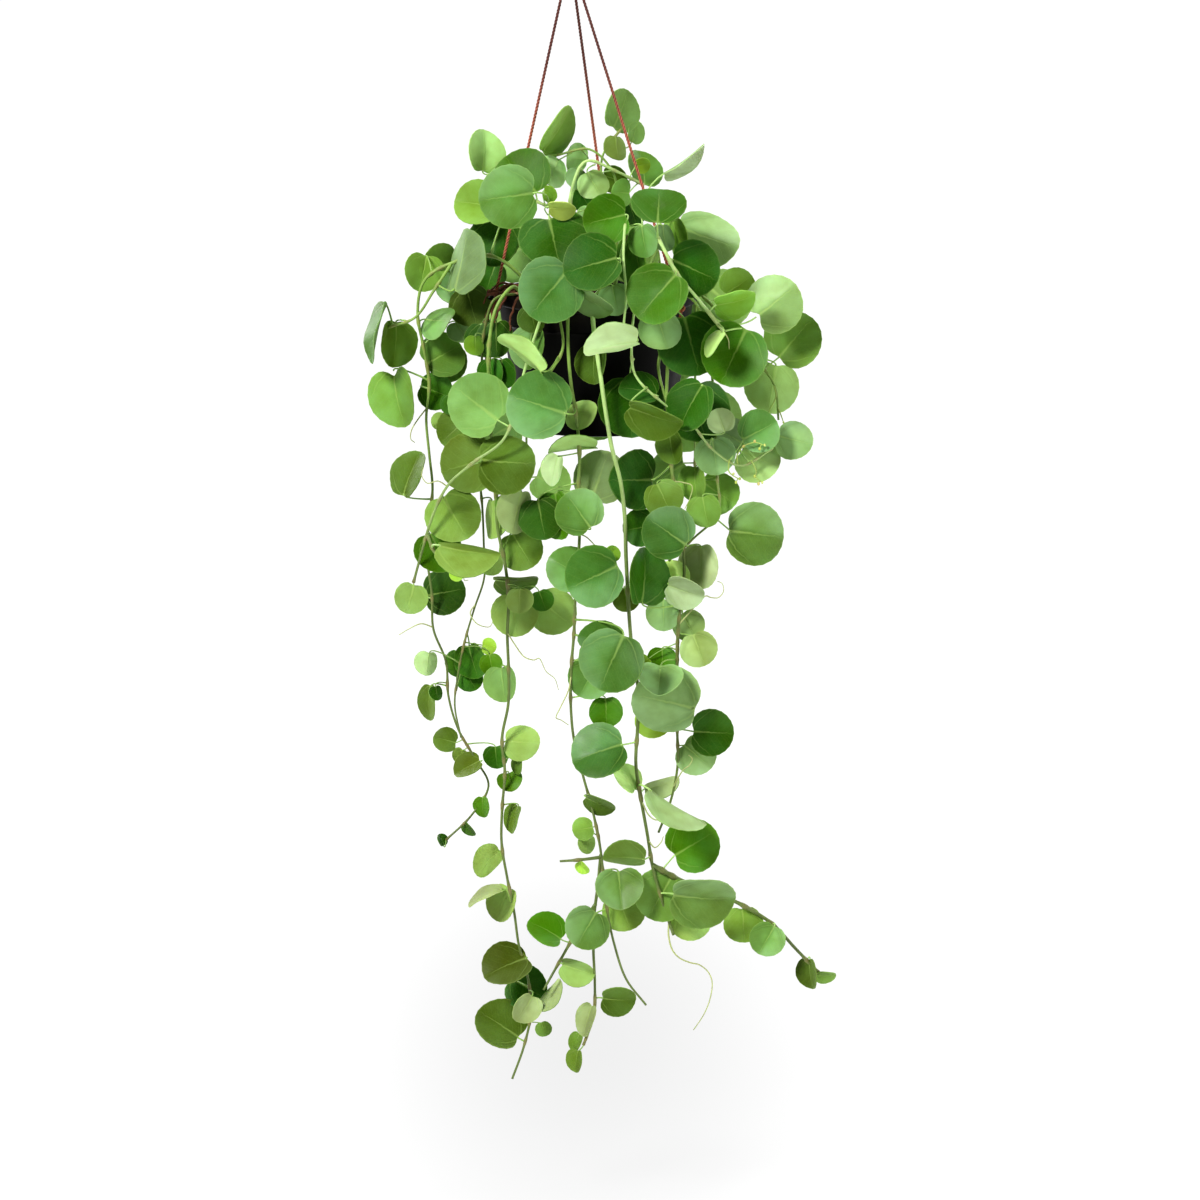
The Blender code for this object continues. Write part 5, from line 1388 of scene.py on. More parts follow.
def leaf_finish(name, attribute, groups, under):
    """A leaf's skin: satin above with sunken veins, duller below with raised ones, with painted shade
    along the valleys beside the veins.
    """
    finish, tree, shader, patch, fleck = new_finish(name, groups, 55.0, 900.0)
    tint = add_node(tree, "ShaderNodeAttribute", attribute_name=attribute).outputs
    blade = add_node(tree, "ShaderNodeUVMap", uv_map="blade").outputs[0]
    feeds = {"Blade": blade, "Width": 0.015 if under else 0.011}
    veins = add_node(tree, "ShaderNodeGroup", feeds, node_tree=groups["veins"]).outputs
    body = add_node(
        tree,
        "ShaderNodeHueSaturation",
        {
            "Hue": ranged(tree, patch, 0, 1, 0.492, 0.508),
            "Saturation": ranged(tree, patch, 0, 1, 1.04, 0.94),
            "Value": ranged(tree, patch, 0, 1, 0.82, 1.18),
            "Color": tint["Color"],
        },
    ).outputs[0]
    body = blended(tree, ranged(tree, fleck, 0.0, 1.0, 0.0, 0.05), body, shade_of(165, 190, 80))
    gloss = painted(tree, "gloss")
    # Painted shade: the blade is darkened along the valleys beside its veins, more on shinier leaves
    valley_shade_share = ranged(tree, gloss, 0.04, 0.25, 0.08, 0.50)
    valley = maths(tree, "MULTIPLY", veins["Valley"], valley_shade_share)
    body = blended(tree, valley, body, shade_of(150, 172, 110), kind="MULTIPLY")
    pale = blended(tree, 0.5, tint["Color"], shade_of(200, 226, 130))
    fine = maths(tree, "MULTIPLY", veins["Fine"], 0.15 if under else 0.09)
    body = blended(tree, fine, body, pale)
    body = blended(tree, maths(tree, "MULTIPLY", veins["Main"], 0.50), body, pale)
    rim = ranged(tree, tint["Alpha"], 0.95, 1.0, 0.0, 0.22, smooth=True)
    body = blended(tree, rim, body, pale)
    dull = ranged(tree, patch, 0.0, 1.0, 0.56 if under else 0.40, 0.66 if under else 0.50)
    sign = 1.0 if under else -1.0
    height = maths(tree, "MULTIPLY", veins["Main"], 0.8 * sign)
    for value, weight in ((veins["Fine"], 0.25 * sign), (fleck, 0.08), (valley, 1.2 * sign)):
        height = maths(tree, "ADD", height, maths(tree, "MULTIPLY", value, weight))
    covered(tree, shader, body, dull, height, 0.00035, 0.8)
    sheen = maths(tree, "MULTIPLY", gloss, ranged(tree, patch, 0, 1, 0.7, 1.0))
    tree.links.new(sheen, shader["Coat Weight"])
    shader["Coat Roughness"].default_value = 0.32
    shader["Specular IOR Level"].default_value = 0.09
    shader["Subsurface Weight"].default_value = 0.07
    shader["Subsurface Radius"].default_value = (0.6, 1.0, 0.1)
    shader["Subsurface Scale"].default_value = 0.0016
    shader["IOR"].default_value = 1.45
    return finish


def stem_finish(groups):
    """A smooth green stem, its own colour in its vertices, with fine streaks."""
    finish, tree, shader, patch, fleck = new_finish("stem_skin", groups, 120.0, 1400.0)
    body = lightened(tree, painted(tree), patch, 0.84, 1.14)
    dots = ranged(tree, fleck, 0.82, 1.0, 0.0, 0.35)
    body = blended(tree, dots, body, shade_of(*JOINT_COLOUR))
    covered(tree, shader, body, ranged(tree, fleck, 0, 1, 0.42, 0.56), fleck, 0.00012, 0.7)
    shader["Subsurface Weight"].default_value = 0.10
    shader["Subsurface Radius"].default_value = (0.4, 1.0, 0.2)
    shader["Subsurface Scale"].default_value = 0.001
    return finish


def plastic_finish(groups):
    """Black moulded plastic, a little dusty at the rim and where water dried."""
    finish, tree, shader, patch, fleck = new_finish("pot_plastic", groups, 26.0, 1100.0)
    near_rim = ranged(tree, own_height(tree), RIM_Z - 0.035, RIM_Z, 0.01, 0.14, smooth=True)
    dust = maths(tree, "MULTIPLY", ranged(tree, patch, 0.45, 0.95), near_rim)
    dust = maths(tree, "ADD", dust, maths(tree, "MULTIPLY", fleck, 0.012))
    body = blended(tree, dust, shade_of(6, 5, 6), shade_of(120, 108, 94))
    covered(tree, shader, body, ranged(tree, patch, 0, 1, 0.30, 0.50), fleck, 0.00008, 0.5)
    shader["Specular IOR Level"].default_value = 0.08
    return finish


def earth_finish(name, groups, coloured):
    """Potting soil, or bits in it that carry their own colour."""
    finish, tree, shader, patch, fleck = new_finish(name, groups, 150.0, 900.0)
    if coloured:
        base = painted(tree)
        dark = blended(tree, 0.55, base, shade_of(40, 26, 18))
    else:
        base, dark = shade_of(92, 60, 42), shade_of(34, 22, 16)
    body = blended(tree, patch, dark, base)
    body = blended(tree, ranged(tree, fleck, 0.7, 1.0, 0.0, 0.3), body, shade_of(170, 132, 96))
    covered(tree, shader, body, ranged(tree, fleck, 0, 1, 0.82, 0.97), fleck, 0.0007, 0.9)
    return finish


def cord_finish(groups):
    """Rust-brown twine in its painted colours, with painted shade between its strands, and handled dark
    towards its top.
    """
    finish, tree, shader, patch, fleck = new_finish("cord_twine", groups, 300.0, 2600.0)
    body = lightened(tree, painted(tree), patch, 0.82, 1.16)
    body = blended(tree, ranged(tree, fleck, 0.6, 1.0, 0.0, 0.35), body, shade_of(222, 160, 136))
    grimy = ranged(tree, own_height(tree), *CORD_GRIME, 0.05, 0.95, smooth=True)
    body = blended(tree, grimy, body, shade_of(122, 106, 112), kind="MULTIPLY")
    covered(tree, shader, body, ranged(tree, fleck, 0, 1, 0.62, 0.85), fleck, 0.00018, 0.9)
    shader["Sheen Weight"].default_value = 0.2
    return finish


def wire_finish(groups):
    """Galvanised wire, brushed and a little spotted."""
    finish, tree, shader, patch, fleck = new_finish("hook_wire", groups, 220.0, 1500.0)
    body = blended(tree, patch, shade_of(168, 170, 172), shade_of(206, 208, 210))
    covered(tree, shader, body, ranged(tree, fleck, 0, 1, 0.24, 0.42), fleck, 0.00006, 0.6)
    shader["Metallic"].default_value = 1.0
    return finish


def bud_finish(groups):
    """Pale yellow-green buds, greener in patches."""
    finish, tree, shader, patch, fleck = new_finish("bud_skin", groups, 400.0, 1800.0)
    greener = ranged(tree, patch, 0.4, 1.0, 0.0, 0.4)
    body = blended(tree, greener, painted(tree), shade_of(120, 150, 60))
    covered(tree, shader, body, ranged(tree, fleck, 0, 1, 0.5, 0.7), fleck, 0.0001, 0.6)
    return finish


def floor_finish(groups):
    """A plain white studio floor, lit up a little for the camera as a lit paper sweep is, its glow
    dimmer under the plant as a painted soft shadow.
    """
    finish, tree, shader, patch, fleck = new_finish("pale_floor", groups, 1.2, 30.0)
    body = blended(tree, patch, shade_of(226, 226, 226), shade_of(230, 230, 230))
    tree.links.new(body, shader["Base Color"])
    tree.links.new(ranged(tree, fleck, 0, 1, 0.75, 0.85), shader["Roughness"])
    seen = tree.nodes.new("ShaderNodeLightPath").outputs["Is Camera Ray"]
    # Painted shadow: the floor's glow for the camera is dimmer round a place under the plant
    aside = vector_maths(tree, "SUBTRACT", own_place(tree), FLOOR_SHADE_PLACE)[0]
    aside = vector_maths(tree, "DIVIDE", aside, FLOOR_SHADE_REACH)[0]
    far = vector_maths(tree, "LENGTH", aside)["Value"]
    strength = ranged(tree, far, 0.0, 1.0, 0.71, 0.94, smooth=True)
    glow = add_node(tree, "ShaderNodeEmission", {"Color": (1, 1, 1, 1), "Strength": strength})
    mixed = add_node(tree, "ShaderNodeMixShader", {0: maths(tree, "MULTIPLY", seen, FLOOR_GLOW)})
    end = tree.nodes["Material Output"].inputs["Surface"]
    tree.links.new(end.links[0].from_socket, mixed.inputs[1])
    tree.links.new(glow.outputs[0], mixed.inputs[2])
    tree.links.new(mixed.outputs[0], end)
    return finish


# The view


def add_camera():
    """The camera that the places are read from."""
    lens = bpy.data.cameras.new("view")
    lens.lens = VIEW_LENS
    lens.sensor_width = VIEW_SENSOR
    camera = bpy.data.objects.new("view", lens)
    turn = Matrix((VIEW_RIGHT, VIEW_UP, VIEW_TOWARDS)).transposed().to_4x4()
    camera.matrix_world = Matrix.Translation(VIEW_POINT + VIEW_DISTANCE * VIEW_TOWARDS) @ turn
    bpy.context.scene.collection.objects.link(camera)
    bpy.context.scene.camera = camera


# Cords, knots and hook


def cord_ends(side):
    """A cord's two ends, under its ear's hole and at the upper knot, and its direction."""
    ear = at_bearing(EAR_BEARINGS[side], EAR_DISTANCE, RIM_Z - EAR_THICKNESS)
    knot = Vector((0, 0, KNOT_Z))
    along = (knot - ear).normalized()
    return ear - along * (EAR_THICKNESS * 0.5 + 0.0006), knot - along * (KNOT_RADIUS + GAP), along


def add_cord(side, finish):
    """Three strands laid up into a twine, taut between its ear and the upper knot."""
    low, high, along = cord_ends(side)
    length = (high - low).length
    turns = round(length / STRAND_TURN)
    deselect()
    bpy.ops.mesh.primitive_circle_add(vertices=12, radius=CORD_RADIUS)
    piece = bpy.context.object
    piece.name = "twine_" + side
    places = corners_of(piece)
    angle = np.arctan2(places[:, 0], places[:, 1])
    places[:, :2] *= (0.87 + 0.13 * np.cos(3 * angle))[:, None]
    set_corners(piece, places)
    finish_with(
        piece, "SCREW", axis="Z", angle=2 * math.pi, screw_offset=length / turns, iterations=turns,
        steps=12, render_steps=12, use_merge_vertices=False,
    )
    edit_all()
    bpy.ops.mesh.remove_doubles(threshold=0.000005)
    select_open_edges()
    bpy.ops.mesh.fill_holes(sides=0)
    faces_outwards()
    places = corners_of(piece)
    out = np.hypot(places[:, 0], places[:, 1]) / CORD_RADIUS
    share = np.clip((out - CORD_GROOVE_DEPTH) / (1 - CORD_GROOVE_DEPTH), 0, 1)
    # Painted light and shade: the strands' crowns lit, the grooves between them shaded
    paint_between(piece, CORD_GROOVE_SHADE, CORD_LIT, share)
    turn = UP.rotation_difference(along).to_matrix().to_4x4()
    piece.data.transform(Matrix.Translation(low) @ turn)
    shade(piece, 60)
    belongs(coated(piece, finish), "cord_rust", "cord_" + side)
    path = [low.lerp(high, step / (CORD_POINTS - 1)) for step in range(CORD_POINTS)]
    return piece, path, length


def knot_loop(centre, along, windings, lobes, reach, waver, lift, steps):
    """A closed loop that winds over and under itself round the given direction."""
    turn = UP.rotation_difference(along)
    points = []
    for step in range(steps):
        angle = 2 * math.pi * step / steps
        out = reach + waver * math.cos(lobes * angle)
        height = lift * math.sin(lobes * angle)
        point = Vector((out * math.cos(windings * angle), out * math.sin(windings * angle), height))
        point.rotate(turn)
        points.append(centre + point)
    return points


def tied(name, wound, loose, finish, node):
    """A knot as one piece, with the lay of its strands painted across it as bands of painted light and
    shade.
    """
    piece = joined(name, wound, loose)
    # Painted light and shade in bands, for the lay of the strands
    strand_shade = 0.5 + 0.5 * np.sin(corners_of(piece) @ np.array((1500.0, 900.0, 1900.0)))
    paint_between(piece, CORD_GROOVE_SHADE, CORD_LIT, 0.35 + 0.65 * strand_shade)
    return belongs(coated(piece, finish), "cord_rust", node)


def add_ear_knot(side, finish):
    """The knot under an ear: a wound loop, the cord's end inside it and a frayed tail."""
    tail = [seen_at(*place) for place in CORD_TAILS[side]]
    low, _, along = cord_ends(side)
    centre = low - along * (EAR_KNOT_RADIUS + GAP)
    loop = knot_loop(centre, along, 2, 3, 0.0017, 0.0007, 0.0016, 60)
    wound = strands("wound_" + side, [(loop, [0.00105] * len(loop))], closed=True)
    stub = smooth_route([low + along * 0.001, centre, *tail[:1]], 4)
    hanging = smooth_route([centre, *tail], 6)
    routes = [
        (stub, [CORD_RADIUS * 0.95] * len(stub)),
        (hanging, [CORD_RADIUS * 0.92] * len(hanging)),
    ]
    end = hanging[-1]
    onward = (end - hanging[-3]).normalized()
    for number in range(3):
        apart = at_bearing(120 * number, 1.0, 0.0) - Vector((POT_AXIS_X, 0, 0))
        spread = end + onward * 0.002 + apart * 0.0008
        fray = smooth_route([end - onward * 0.002, spread, end + onward * 0.005 + apart * 0.0022], 4)
        routes.append((fray, [0.0006 - 0.00004 * step for step in range(len(fray))]))
    return tied("tied_" + side, wound, strands("loose_" + side, routes), finish, "knot_" + side)


def add_top_knot(finish):
    """The cords' ends wound round the hook's shank."""
    centre = Vector((0, 0, KNOT_Z))
    loops = [
        knot_loop(centre, UP, 2, 5, 0.0045, 0.0012, 0.0030, 120),
        knot_loop(centre + UP * 0.0012, UP, 3, 4, 0.0043, 0.0011, 0.0038, 120),
    ]
    wound = strands("wound_top", [(loop, [0.00115] * len(loop)) for loop in loops], closed=True)
    routes = []
    for side in EAR_BEARINGS:
        _, high, along = cord_ends(side)
        out = Vector((along.x, along.y, 0)).normalized() * -0.0042
        bends = [high, high + along * 0.002, centre + out - UP * 0.001, centre + out + UP * 0.003]
        end = smooth_route(bends, 5)
        routes.append((end, [CORD_RADIUS] * len(end)))
    return tied("tied_top", wound, strands("ends_top", routes), finish, "knot_top")


def add_hook(finish):
    """A wire hook with a rounded tip: a crook open to the right and a straight shank."""
    wire = HOOK_CROOK_RADIUS + HOOK_WIRE_RADIUS
    middle = -HOOK_CROOK_RADIUS
    points = []
    for step in range(13):
        turn = math.radians(CROOK_FROM + step * CROOK_STEP)
        points.append(Vector((wire * math.cos(turn), 0, middle + wire * math.sin(turn))))
    points += [
        Vector((-wire * 0.72, 0, middle - wire * 0.93)),
        Vector((-wire * 0.25, 0, middle - wire * 1.25)),
        Vector((0, 0, middle - wire * 1.6)),
        Vector((0, 0, HOOK_END_Z)),
    ]
    route = smooth_route(points, 4)
    way = (route[0] - route[1]).normalized()
    tip = [route[0] + way * HOOK_WIRE_RADIUS * share for share in (0.95, 0.75, 0.4)]
    radii = [HOOK_WIRE_RADIUS * share for share in (0.35, 0.7, 0.93)] + [HOOK_WIRE_RADIUS] * len(route)
    piece = strands("hook_bent", [(tip + route, radii)], sides=6)
    return belongs(coated(piece, finish), "hook_steel", "hook")


# Pot and soil


def add_pot(finish):
    """A thin moulded pot with a rolled rim, three eyelet ears and drainage holes."""
    base, lip, top = RIM_Z - POT_HEIGHT, RIM_Z - RIM_LIP_HEIGHT, RIM_Z
    waist = WALL_RADIUS - 0.0022
    profile = [
        (BASE_RADIUS - 0.006, base + WALL),
        (BASE_RADIUS - WALL - 0.0012, base + WALL + 0.0006),
        (BASE_RADIUS - WALL, base + WALL + 0.0025),
        (WALL_RADIUS - WALL, lip - 0.001),
        (WALL_RADIUS - WALL + 0.0012, lip + 0.001),
        (RIM_RADIUS - WALL, top - 0.0018),
        (RIM_RADIUS - WALL + 0.0003, top - 0.0006),
        (RIM_RADIUS - 0.0008, top),
        (RIM_RADIUS - 0.0001, top - 0.0005),
        (RIM_RADIUS, top - 0.0014),
        (RIM_RADIUS, lip + 0.0010),
        (RIM_RADIUS - 0.0004, lip + 0.0002),
        (WALL_RADIUS + 0.0010, lip - 0.0002),
        (WALL_RADIUS, lip - 0.0012),
        (waist, lip - 0.0160),
        (waist + 0.0006, lip - 0.0168),
        (WALL_RADIUS - 0.0028, lip - 0.0184),
        (BASE_RADIUS + 0.0012, base + 0.0080),
        (BASE_RADIUS, base + 0.0016),
        (BASE_RADIUS - 0.0004, base + 0.0005),
        (BASE_RADIUS - 0.0016, base),
        (BASE_RADIUS - 0.0070, base),
        (BASE_RADIUS - 0.0078, base + 0.0006),
    ]
    pot = turned("pot_moulded", profile, POT_SIDES)
    for side, bearing in EAR_BEARINGS.items():
        centre = at_bearing(bearing, EAR_DISTANCE, RIM_Z - EAR_THICKNESS)
        ring = []
        for step in range(10):
            turn = 2 * math.pi * step / 10
            out = EAR_RING_RADIUS + EAR_RING_WIRE * math.cos(turn)
            ring.append((out, centre.z + EAR_RING_WIRE * math.sin(turn)))
        ear = turned("ear_" + side, ring, 32, (centre.x, centre.y), closed=True)
        combined(pot, ear, "UNION")
    for number in range(DRAIN_COUNT):
        centre = at_bearing(360 * (number + 0.5) / DRAIN_COUNT, DRAIN_RING_RADIUS, base)
        drill = [(DRAIN_RADIUS, base - 0.004), (DRAIN_RADIUS, base + 0.006)]
        combined(pot, turned("drill", drill, 20, (centre.x, centre.y)), "DIFFERENCE")
    shade(pot, 32)
    return belongs(coated(pot, finish), "pot_black", "pot")


def soil_level(x, y):
    """The uneven height of the soil's top, calmer at the pot's wall."""
    out = math.hypot(x - POT_AXIS_X, y) / SOIL_RADIUS
    calm = 1 - 0.7 * out**6
    heap = noise.noise(Vector((x * 45, y * 45, 3.0))) * 0.0030
    crumbs = noise.turbulence(Vector((x * 260, y * 260, 7.0)), 2, False) * 0.0014
    aside = math.hypot(x - POT_AXIS_X - HEAP[0] * MM, y + HEAP[1] * MM) / (HEAP[2] * MM)
    return SOIL_Z + (heap + crumbs) * calm - 0.0006 + HEAP[3] * MM * math.exp(-(aside**2))


def add_soil(finish):
    """Loose potting soil down to the pot's floor."""
    floor = RIM_Z - POT_HEIGHT + WALL + GAP
    low_radius = BASE_RADIUS - WALL - GAP * 1.5
    profile = [(0.003 + (SOIL_RADIUS - 0.003) * step / 14, SOIL_Z) for step in range(15)]
    profile += [(SOIL_RADIUS - 0.0006, SOIL_Z - 0.002), (low_radius, floor + 0.003)]
    profile.append((low_radius - 0.002, floor))
    soil = turned("soil_loose", profile, 64)
    take(soil)
    bpy.ops.object.mode_set(mode="EDIT")
    bpy.ops.mesh.select_mode(type="FACE")
    bpy.ops.mesh.select_all(action="DESELECT")
    mesh = bmesh.from_edit_mesh(soil.data)
    for face in mesh.faces:
        face.select_set(face.normal.z > 0.9)
    bmesh.update_edit_mesh(soil.data)
    bpy.ops.mesh.subdivide(number_cuts=1)
    bpy.ops.object.mode_set(mode="OBJECT")
    places = corners_of(soil)
    for place in places:
        if place[2] > SOIL_Z - 0.0005:
            place[2] = soil_level(place[0], place[1])
    set_corners(soil, places)
    shade(soil, 70)
    return belongs(coated(soil, finish), "soil_brown", "soil")


def add_bark(finish, draw):
    """Bark chips on the soil, each a copy of one split piece."""
    deselect()
    bpy.ops.mesh.primitive_cube_add(size=1)
    chip = bpy.context.object
    edit_all()
    bpy.ops.transform.resize(value=CHIP_SIZE, center_override=(0, 0, 0))
    bpy.ops.mesh.subdivide(number_cuts=1)
    bpy.ops.transform.vertex_random(offset=0.0007, seed=4)
    bpy.ops.mesh.select_all(action="SELECT")
    bpy.ops.mesh.bevel(offset=0.0003, segments=1)
    bpy.ops.object.mode_set(mode="OBJECT")
    chips = []
    for number in range(BARK_CHIPS + HEAP_CHIPS):
        out = SOIL_RADIUS * 0.95 * math.sqrt(draw.random())
        place = at_bearing(draw.uniform(0, 360), out, 0)
        if number >= BARK_CHIPS:
            place = on_soil(HEAP[0] - 6 + draw.gauss(0, 7), HEAP[1] + draw.gauss(0, 11), 0)
        level = soil_level(place.x, place.y)
        if math.hypot(place.x - POT_AXIS_X, place.y) > SOIL_RADIUS * 0.97:
            level = RIM_Z + 0.001
        place.z = level + draw.uniform(0.0002, 0.0016)
        twin = copy_of(chip, f"chip_{number}")
        size = draw.uniform(0.45, 1.15)
        spin = Matrix.Rotation(draw.uniform(0, math.tau), 4, "Z")
        tip = Matrix.Rotation(draw.gauss(0, 0.45), 4, "X")
        tip = tip @ Matrix.Rotation(draw.gauss(0, 0.3), 4, "Y")
        long, thick = size * draw.uniform(0.7, 1.3), size * draw.uniform(0.7, 1.2)
        stretch = Matrix.Diagonal((long, size, thick, 1))
        twin.data.transform(Matrix.Translation(place) @ spin @ tip @ stretch)
        paint(twin, "tint", linear(draw.choice(BARK_COLOURS)))
        chips.append(twin)
    bpy.data.objects.remove(chip)
    bark = joined("bark_chips", *chips)
    shade(bark, 35)
    return belongs(coated(bark, finish), "soil_brown")


def add_old_roots(finish, draw):
    """Dry brown roots and stalks that lie over the rim at the left front."""
    routes = []
    for radius, route in OLD_ROOTS:
        points = [on_soil(across, forward, height * MM) for across, forward, height in route]
        line = smooth_route(points, 6)
        line = [point + Vector([draw.gauss(0, 0.0004) for _ in range(3)]) for point in line]
        routes.append(thinning(line, radius * MM, 1.05, 0.5))
    roots = strands("old_roots", routes, sides=1)
    paint_between(roots, *ROOT_COLOURS, noise_values(corners_of(roots), 90.0))
    return belongs(coated(roots, finish), "soil_brown")


def noise_values(places, scale):
    return np.array([0.5 + 0.5 * noise.noise(Vector(place) * scale) for place in places])


# Leaves and stems


def leaf_blank(points, insets):
    """A flat round blank, one unit in radius, with rings of faces round its middle."""
    deselect()
    bpy.ops.mesh.primitive_circle_add(vertices=points, radius=1, fill_type="NGON")
    blank = bpy.context.object
    edit_all()
    for width in insets:
        bpy.ops.mesh.inset(thickness=width)
    bpy.ops.mesh.poke()
    bpy.ops.object.mode_set(mode="OBJECT")
    return blank


def jittered(colour, draw):
    """An sRGB colour made a little different for one leaf, as linear values."""
    warm = draw.gauss(0, 0.012) * 255
    light = 1 + draw.gauss(0, 0.07)
    mixed = (colour[0] + warm, colour[1], colour[2] - warm * 0.5)
    return linear([min(max(c * light, 4), 250) for c in mixed])


def shaped_leaf(name, blank, leaf, tone, settled, draw):
    """A blank cut to its leaf's outline, bent to fold, curl and wave, and put in its place."""
    size, (side, tip, face), centre, _ = settled
    piece = copy_of(blank, name)
    flat = corners_of(piece)
    turn = np.arctan2(flat[:, 0], flat[:, 1])
    share = np.clip(np.hypot(flat[:, 0], flat[:, 1]), 0, 1)
    points = int(np.sum(share > 0.99))
    depth = DEEP_NOTCHES.get(leaf[:2], draw.uniform(0.75, 1.25))
    behind = np.abs(np.pi - np.abs(turn))
    notch = LEAF_NOTCH * depth * np.exp(-((behind / LEAF_NOTCH_WIDTH) ** 2))
    teeth = TOOTH_DEPTH * np.cos(turn * points / 2) * np.clip(behind / 0.5 - 0.4, 0, 1) * share**8
    lobed = draw.uniform(-0.02, 0.02) * np.cos(3 * turn) + draw.uniform(-0.02, 0.02) * np.sin(2 * turn)
    radius = LEAF_RADIUS * size * share * (1 - notch) * (1 + teeth + lobed)
    across = LEAF_BREADTH * radius * np.sin(turn)
    along = LEAF_CENTRE * size + radius * np.cos(turn)
    crease = 0.05 * size
    height = LEAF_FOLD * draw.uniform(0.8, 1.35) * (np.sqrt(across**2 + crease**2) - crease)
    height -= LEAF_CURL * draw.uniform(0.6, 1.4) * size * (along / size - 0.2) ** 2
    wave = draw.uniform(0.006, 0.016) * size
    height += wave * share**3 * np.sin(draw.choice((3, 4, 5)) * turn + draw.uniform(0, 6.28))
    height += draw.uniform(-0.03, 0.012) * size * share**4
    axes = np.array((side, tip, face))
    start = np.array(centre - tip * LEAF_CENTRE * size)
    set_corners(piece, start + np.column_stack((across, along, height)) @ axes)
    layers = piece.data.uv_layers
    layer = layers["blade"] if "blade" in layers else layers.new(name="blade")
    corners = np.empty(len(piece.data.loops), int)
    piece.data.loops.foreach_get("vertex_index", corners)
    layer.data.foreach_set("uv", np.column_stack((across, along))[corners].ravel() / size)
    shown = np.array(jittered(TONES[tone], draw))
    # Painted light: the lower leaves are painted lighter
    low = min(1, max(0, (leaf[1] - LOW_FROM) / (LOW_TO - LOW_FROM)))
    shown *= 1 + np.array(LOW_PAINTED_LIGHT) * low
    lower_shown = tone in LOWER_SHOWN
    hidden = np.array(linear(HIDDEN_UPPER if lower_shown else HIDDEN_LOWER)) * 0.7 + shown * 0.3
    # Painted light and shade: one half of each blade is painted lighter and the other darker, as a lit
    # fold would look, with a painted gradient along the blade
    half = np.tanh(across / (0.08 * size)) * draw.choice((-1, 1))
    light = 1 + draw.uniform(0.04, 0.20) * half
    light += draw.uniform(-0.16, 0.16) * (along / size - LEAF_CENTRE)
    # Painted reflection: one half of each shiny blade is blended towards a cool pale colour
    painted_sheen = np.clip(GLOSS_AND_PAINTED_SHEEN.get(tone, LEAST_GLOSS) * (0.35 + 0.65 * half) * share, 0, 1)[:, None]
    shown = shown * light[:, None] * (1 - painted_sheen) + np.array(linear(PAINTED_SHEEN_COLOUR)) * painted_sheen
    front, back = ("under_tint", "tint") if lower_shown else ("tint", "under_tint")
    paint(piece, front, shown, share)
    paint(piece, back, hidden, share)
    paint(piece, "gloss", GLOSS_AND_PAINTED_SHEEN.get(tone, LEAST_GLOSS) * draw.uniform(0.6, 1.2))
    faces_front = face.dot(VIEW_TOWARDS) > 0
    return piece, not leaf_is_back(leaf) and lower_shown == faces_front


def leaf_is_back(leaf):
    """A leaf of the vines behind the pot, which turns its upper side away from it."""
    return leaf[6] < -30


def stalk_line(settled):
    """A leaf stalk's bend from the middle of its stem to the blade, and on under it a little."""
    size, (_, tip, face), centre, joint = settled
    under = 0.05 * size
    base = centre - tip * (LEAF_CENTRE * size - under)
    base += face * (rise(0, under, size) - BLADE_THICKNESS)
    bends = petiole_path(base, tip, joint)
    bend = bends[1] if len(bends) > 2 else base.lerp(joint, 0.5) - face * 0.0015
    if len(bends) > 2:
        length = (joint - base).length
        turned_back = -tip.dot(joint - base) / length < 0.25
        bend = bend * 2 - (base + joint) * 0.5
        if turned_back:
            bend = base - tip * max(0.22 * length, 0.005)
    shares = [number / 8 for number in range(8, -1, -1)]
    return [base * (1 - t) ** 2 + bend * 2 * t * (1 - t) + joint * t * t for t in shares]


def stem_line(stem, radius, joints, swell):
    """A stem's smooth line, swollen where leaves join and thinner to its tip."""
    line = smooth_route(stem, 10)
    count = len(line)
    radii = []
    for number, point in enumerate(line):
        near = min(((point - joint).length for joint in joints), default=1.0)
        taper = swell - (swell - STEM_END) * (number / (count - 1)) ** STEM_TAPER
        radii.append(radius * taper * (1 + 0.5 * math.exp(-((near / 0.0030) ** 2))))
    return line, radii


def joint_shade(piece, colour, joints=()):
    """A stem's or stalk's colour in streaks.

    Where the joints are given, it is duller to the stem's hanging end and has a brown ring at each.
    """
    places = corners_of(piece)
    rows = np.tile(np.array(linear(colour)), (len(places), 1))
    if joints:
        down = np.clip((STEM_FOOT_FROM - places[:, 2]) / STEM_FOOT_DEPTH, 0, 1)[:, None]
        rows = rows * (1 - down) + np.array(linear(STEM_FOOT_COLOUR)) * down
    streak = noise_values(places, 60.0)[:, None]
    rows *= 0.86 + 0.28 * streak
    if joints:
        spots = np.array([tuple(joint) for joint in joints])
        near = np.min(np.linalg.norm(places[:, None, :] - spots[None, :, :], axis=2), axis=1)
        ring = (0.7 * np.exp(-((near / 0.0026) ** 2)))[:, None]
        rows = rows * (1 - ring) + np.array(linear(JOINT_COLOUR)) * ring
    paint(piece, "tint", rows)


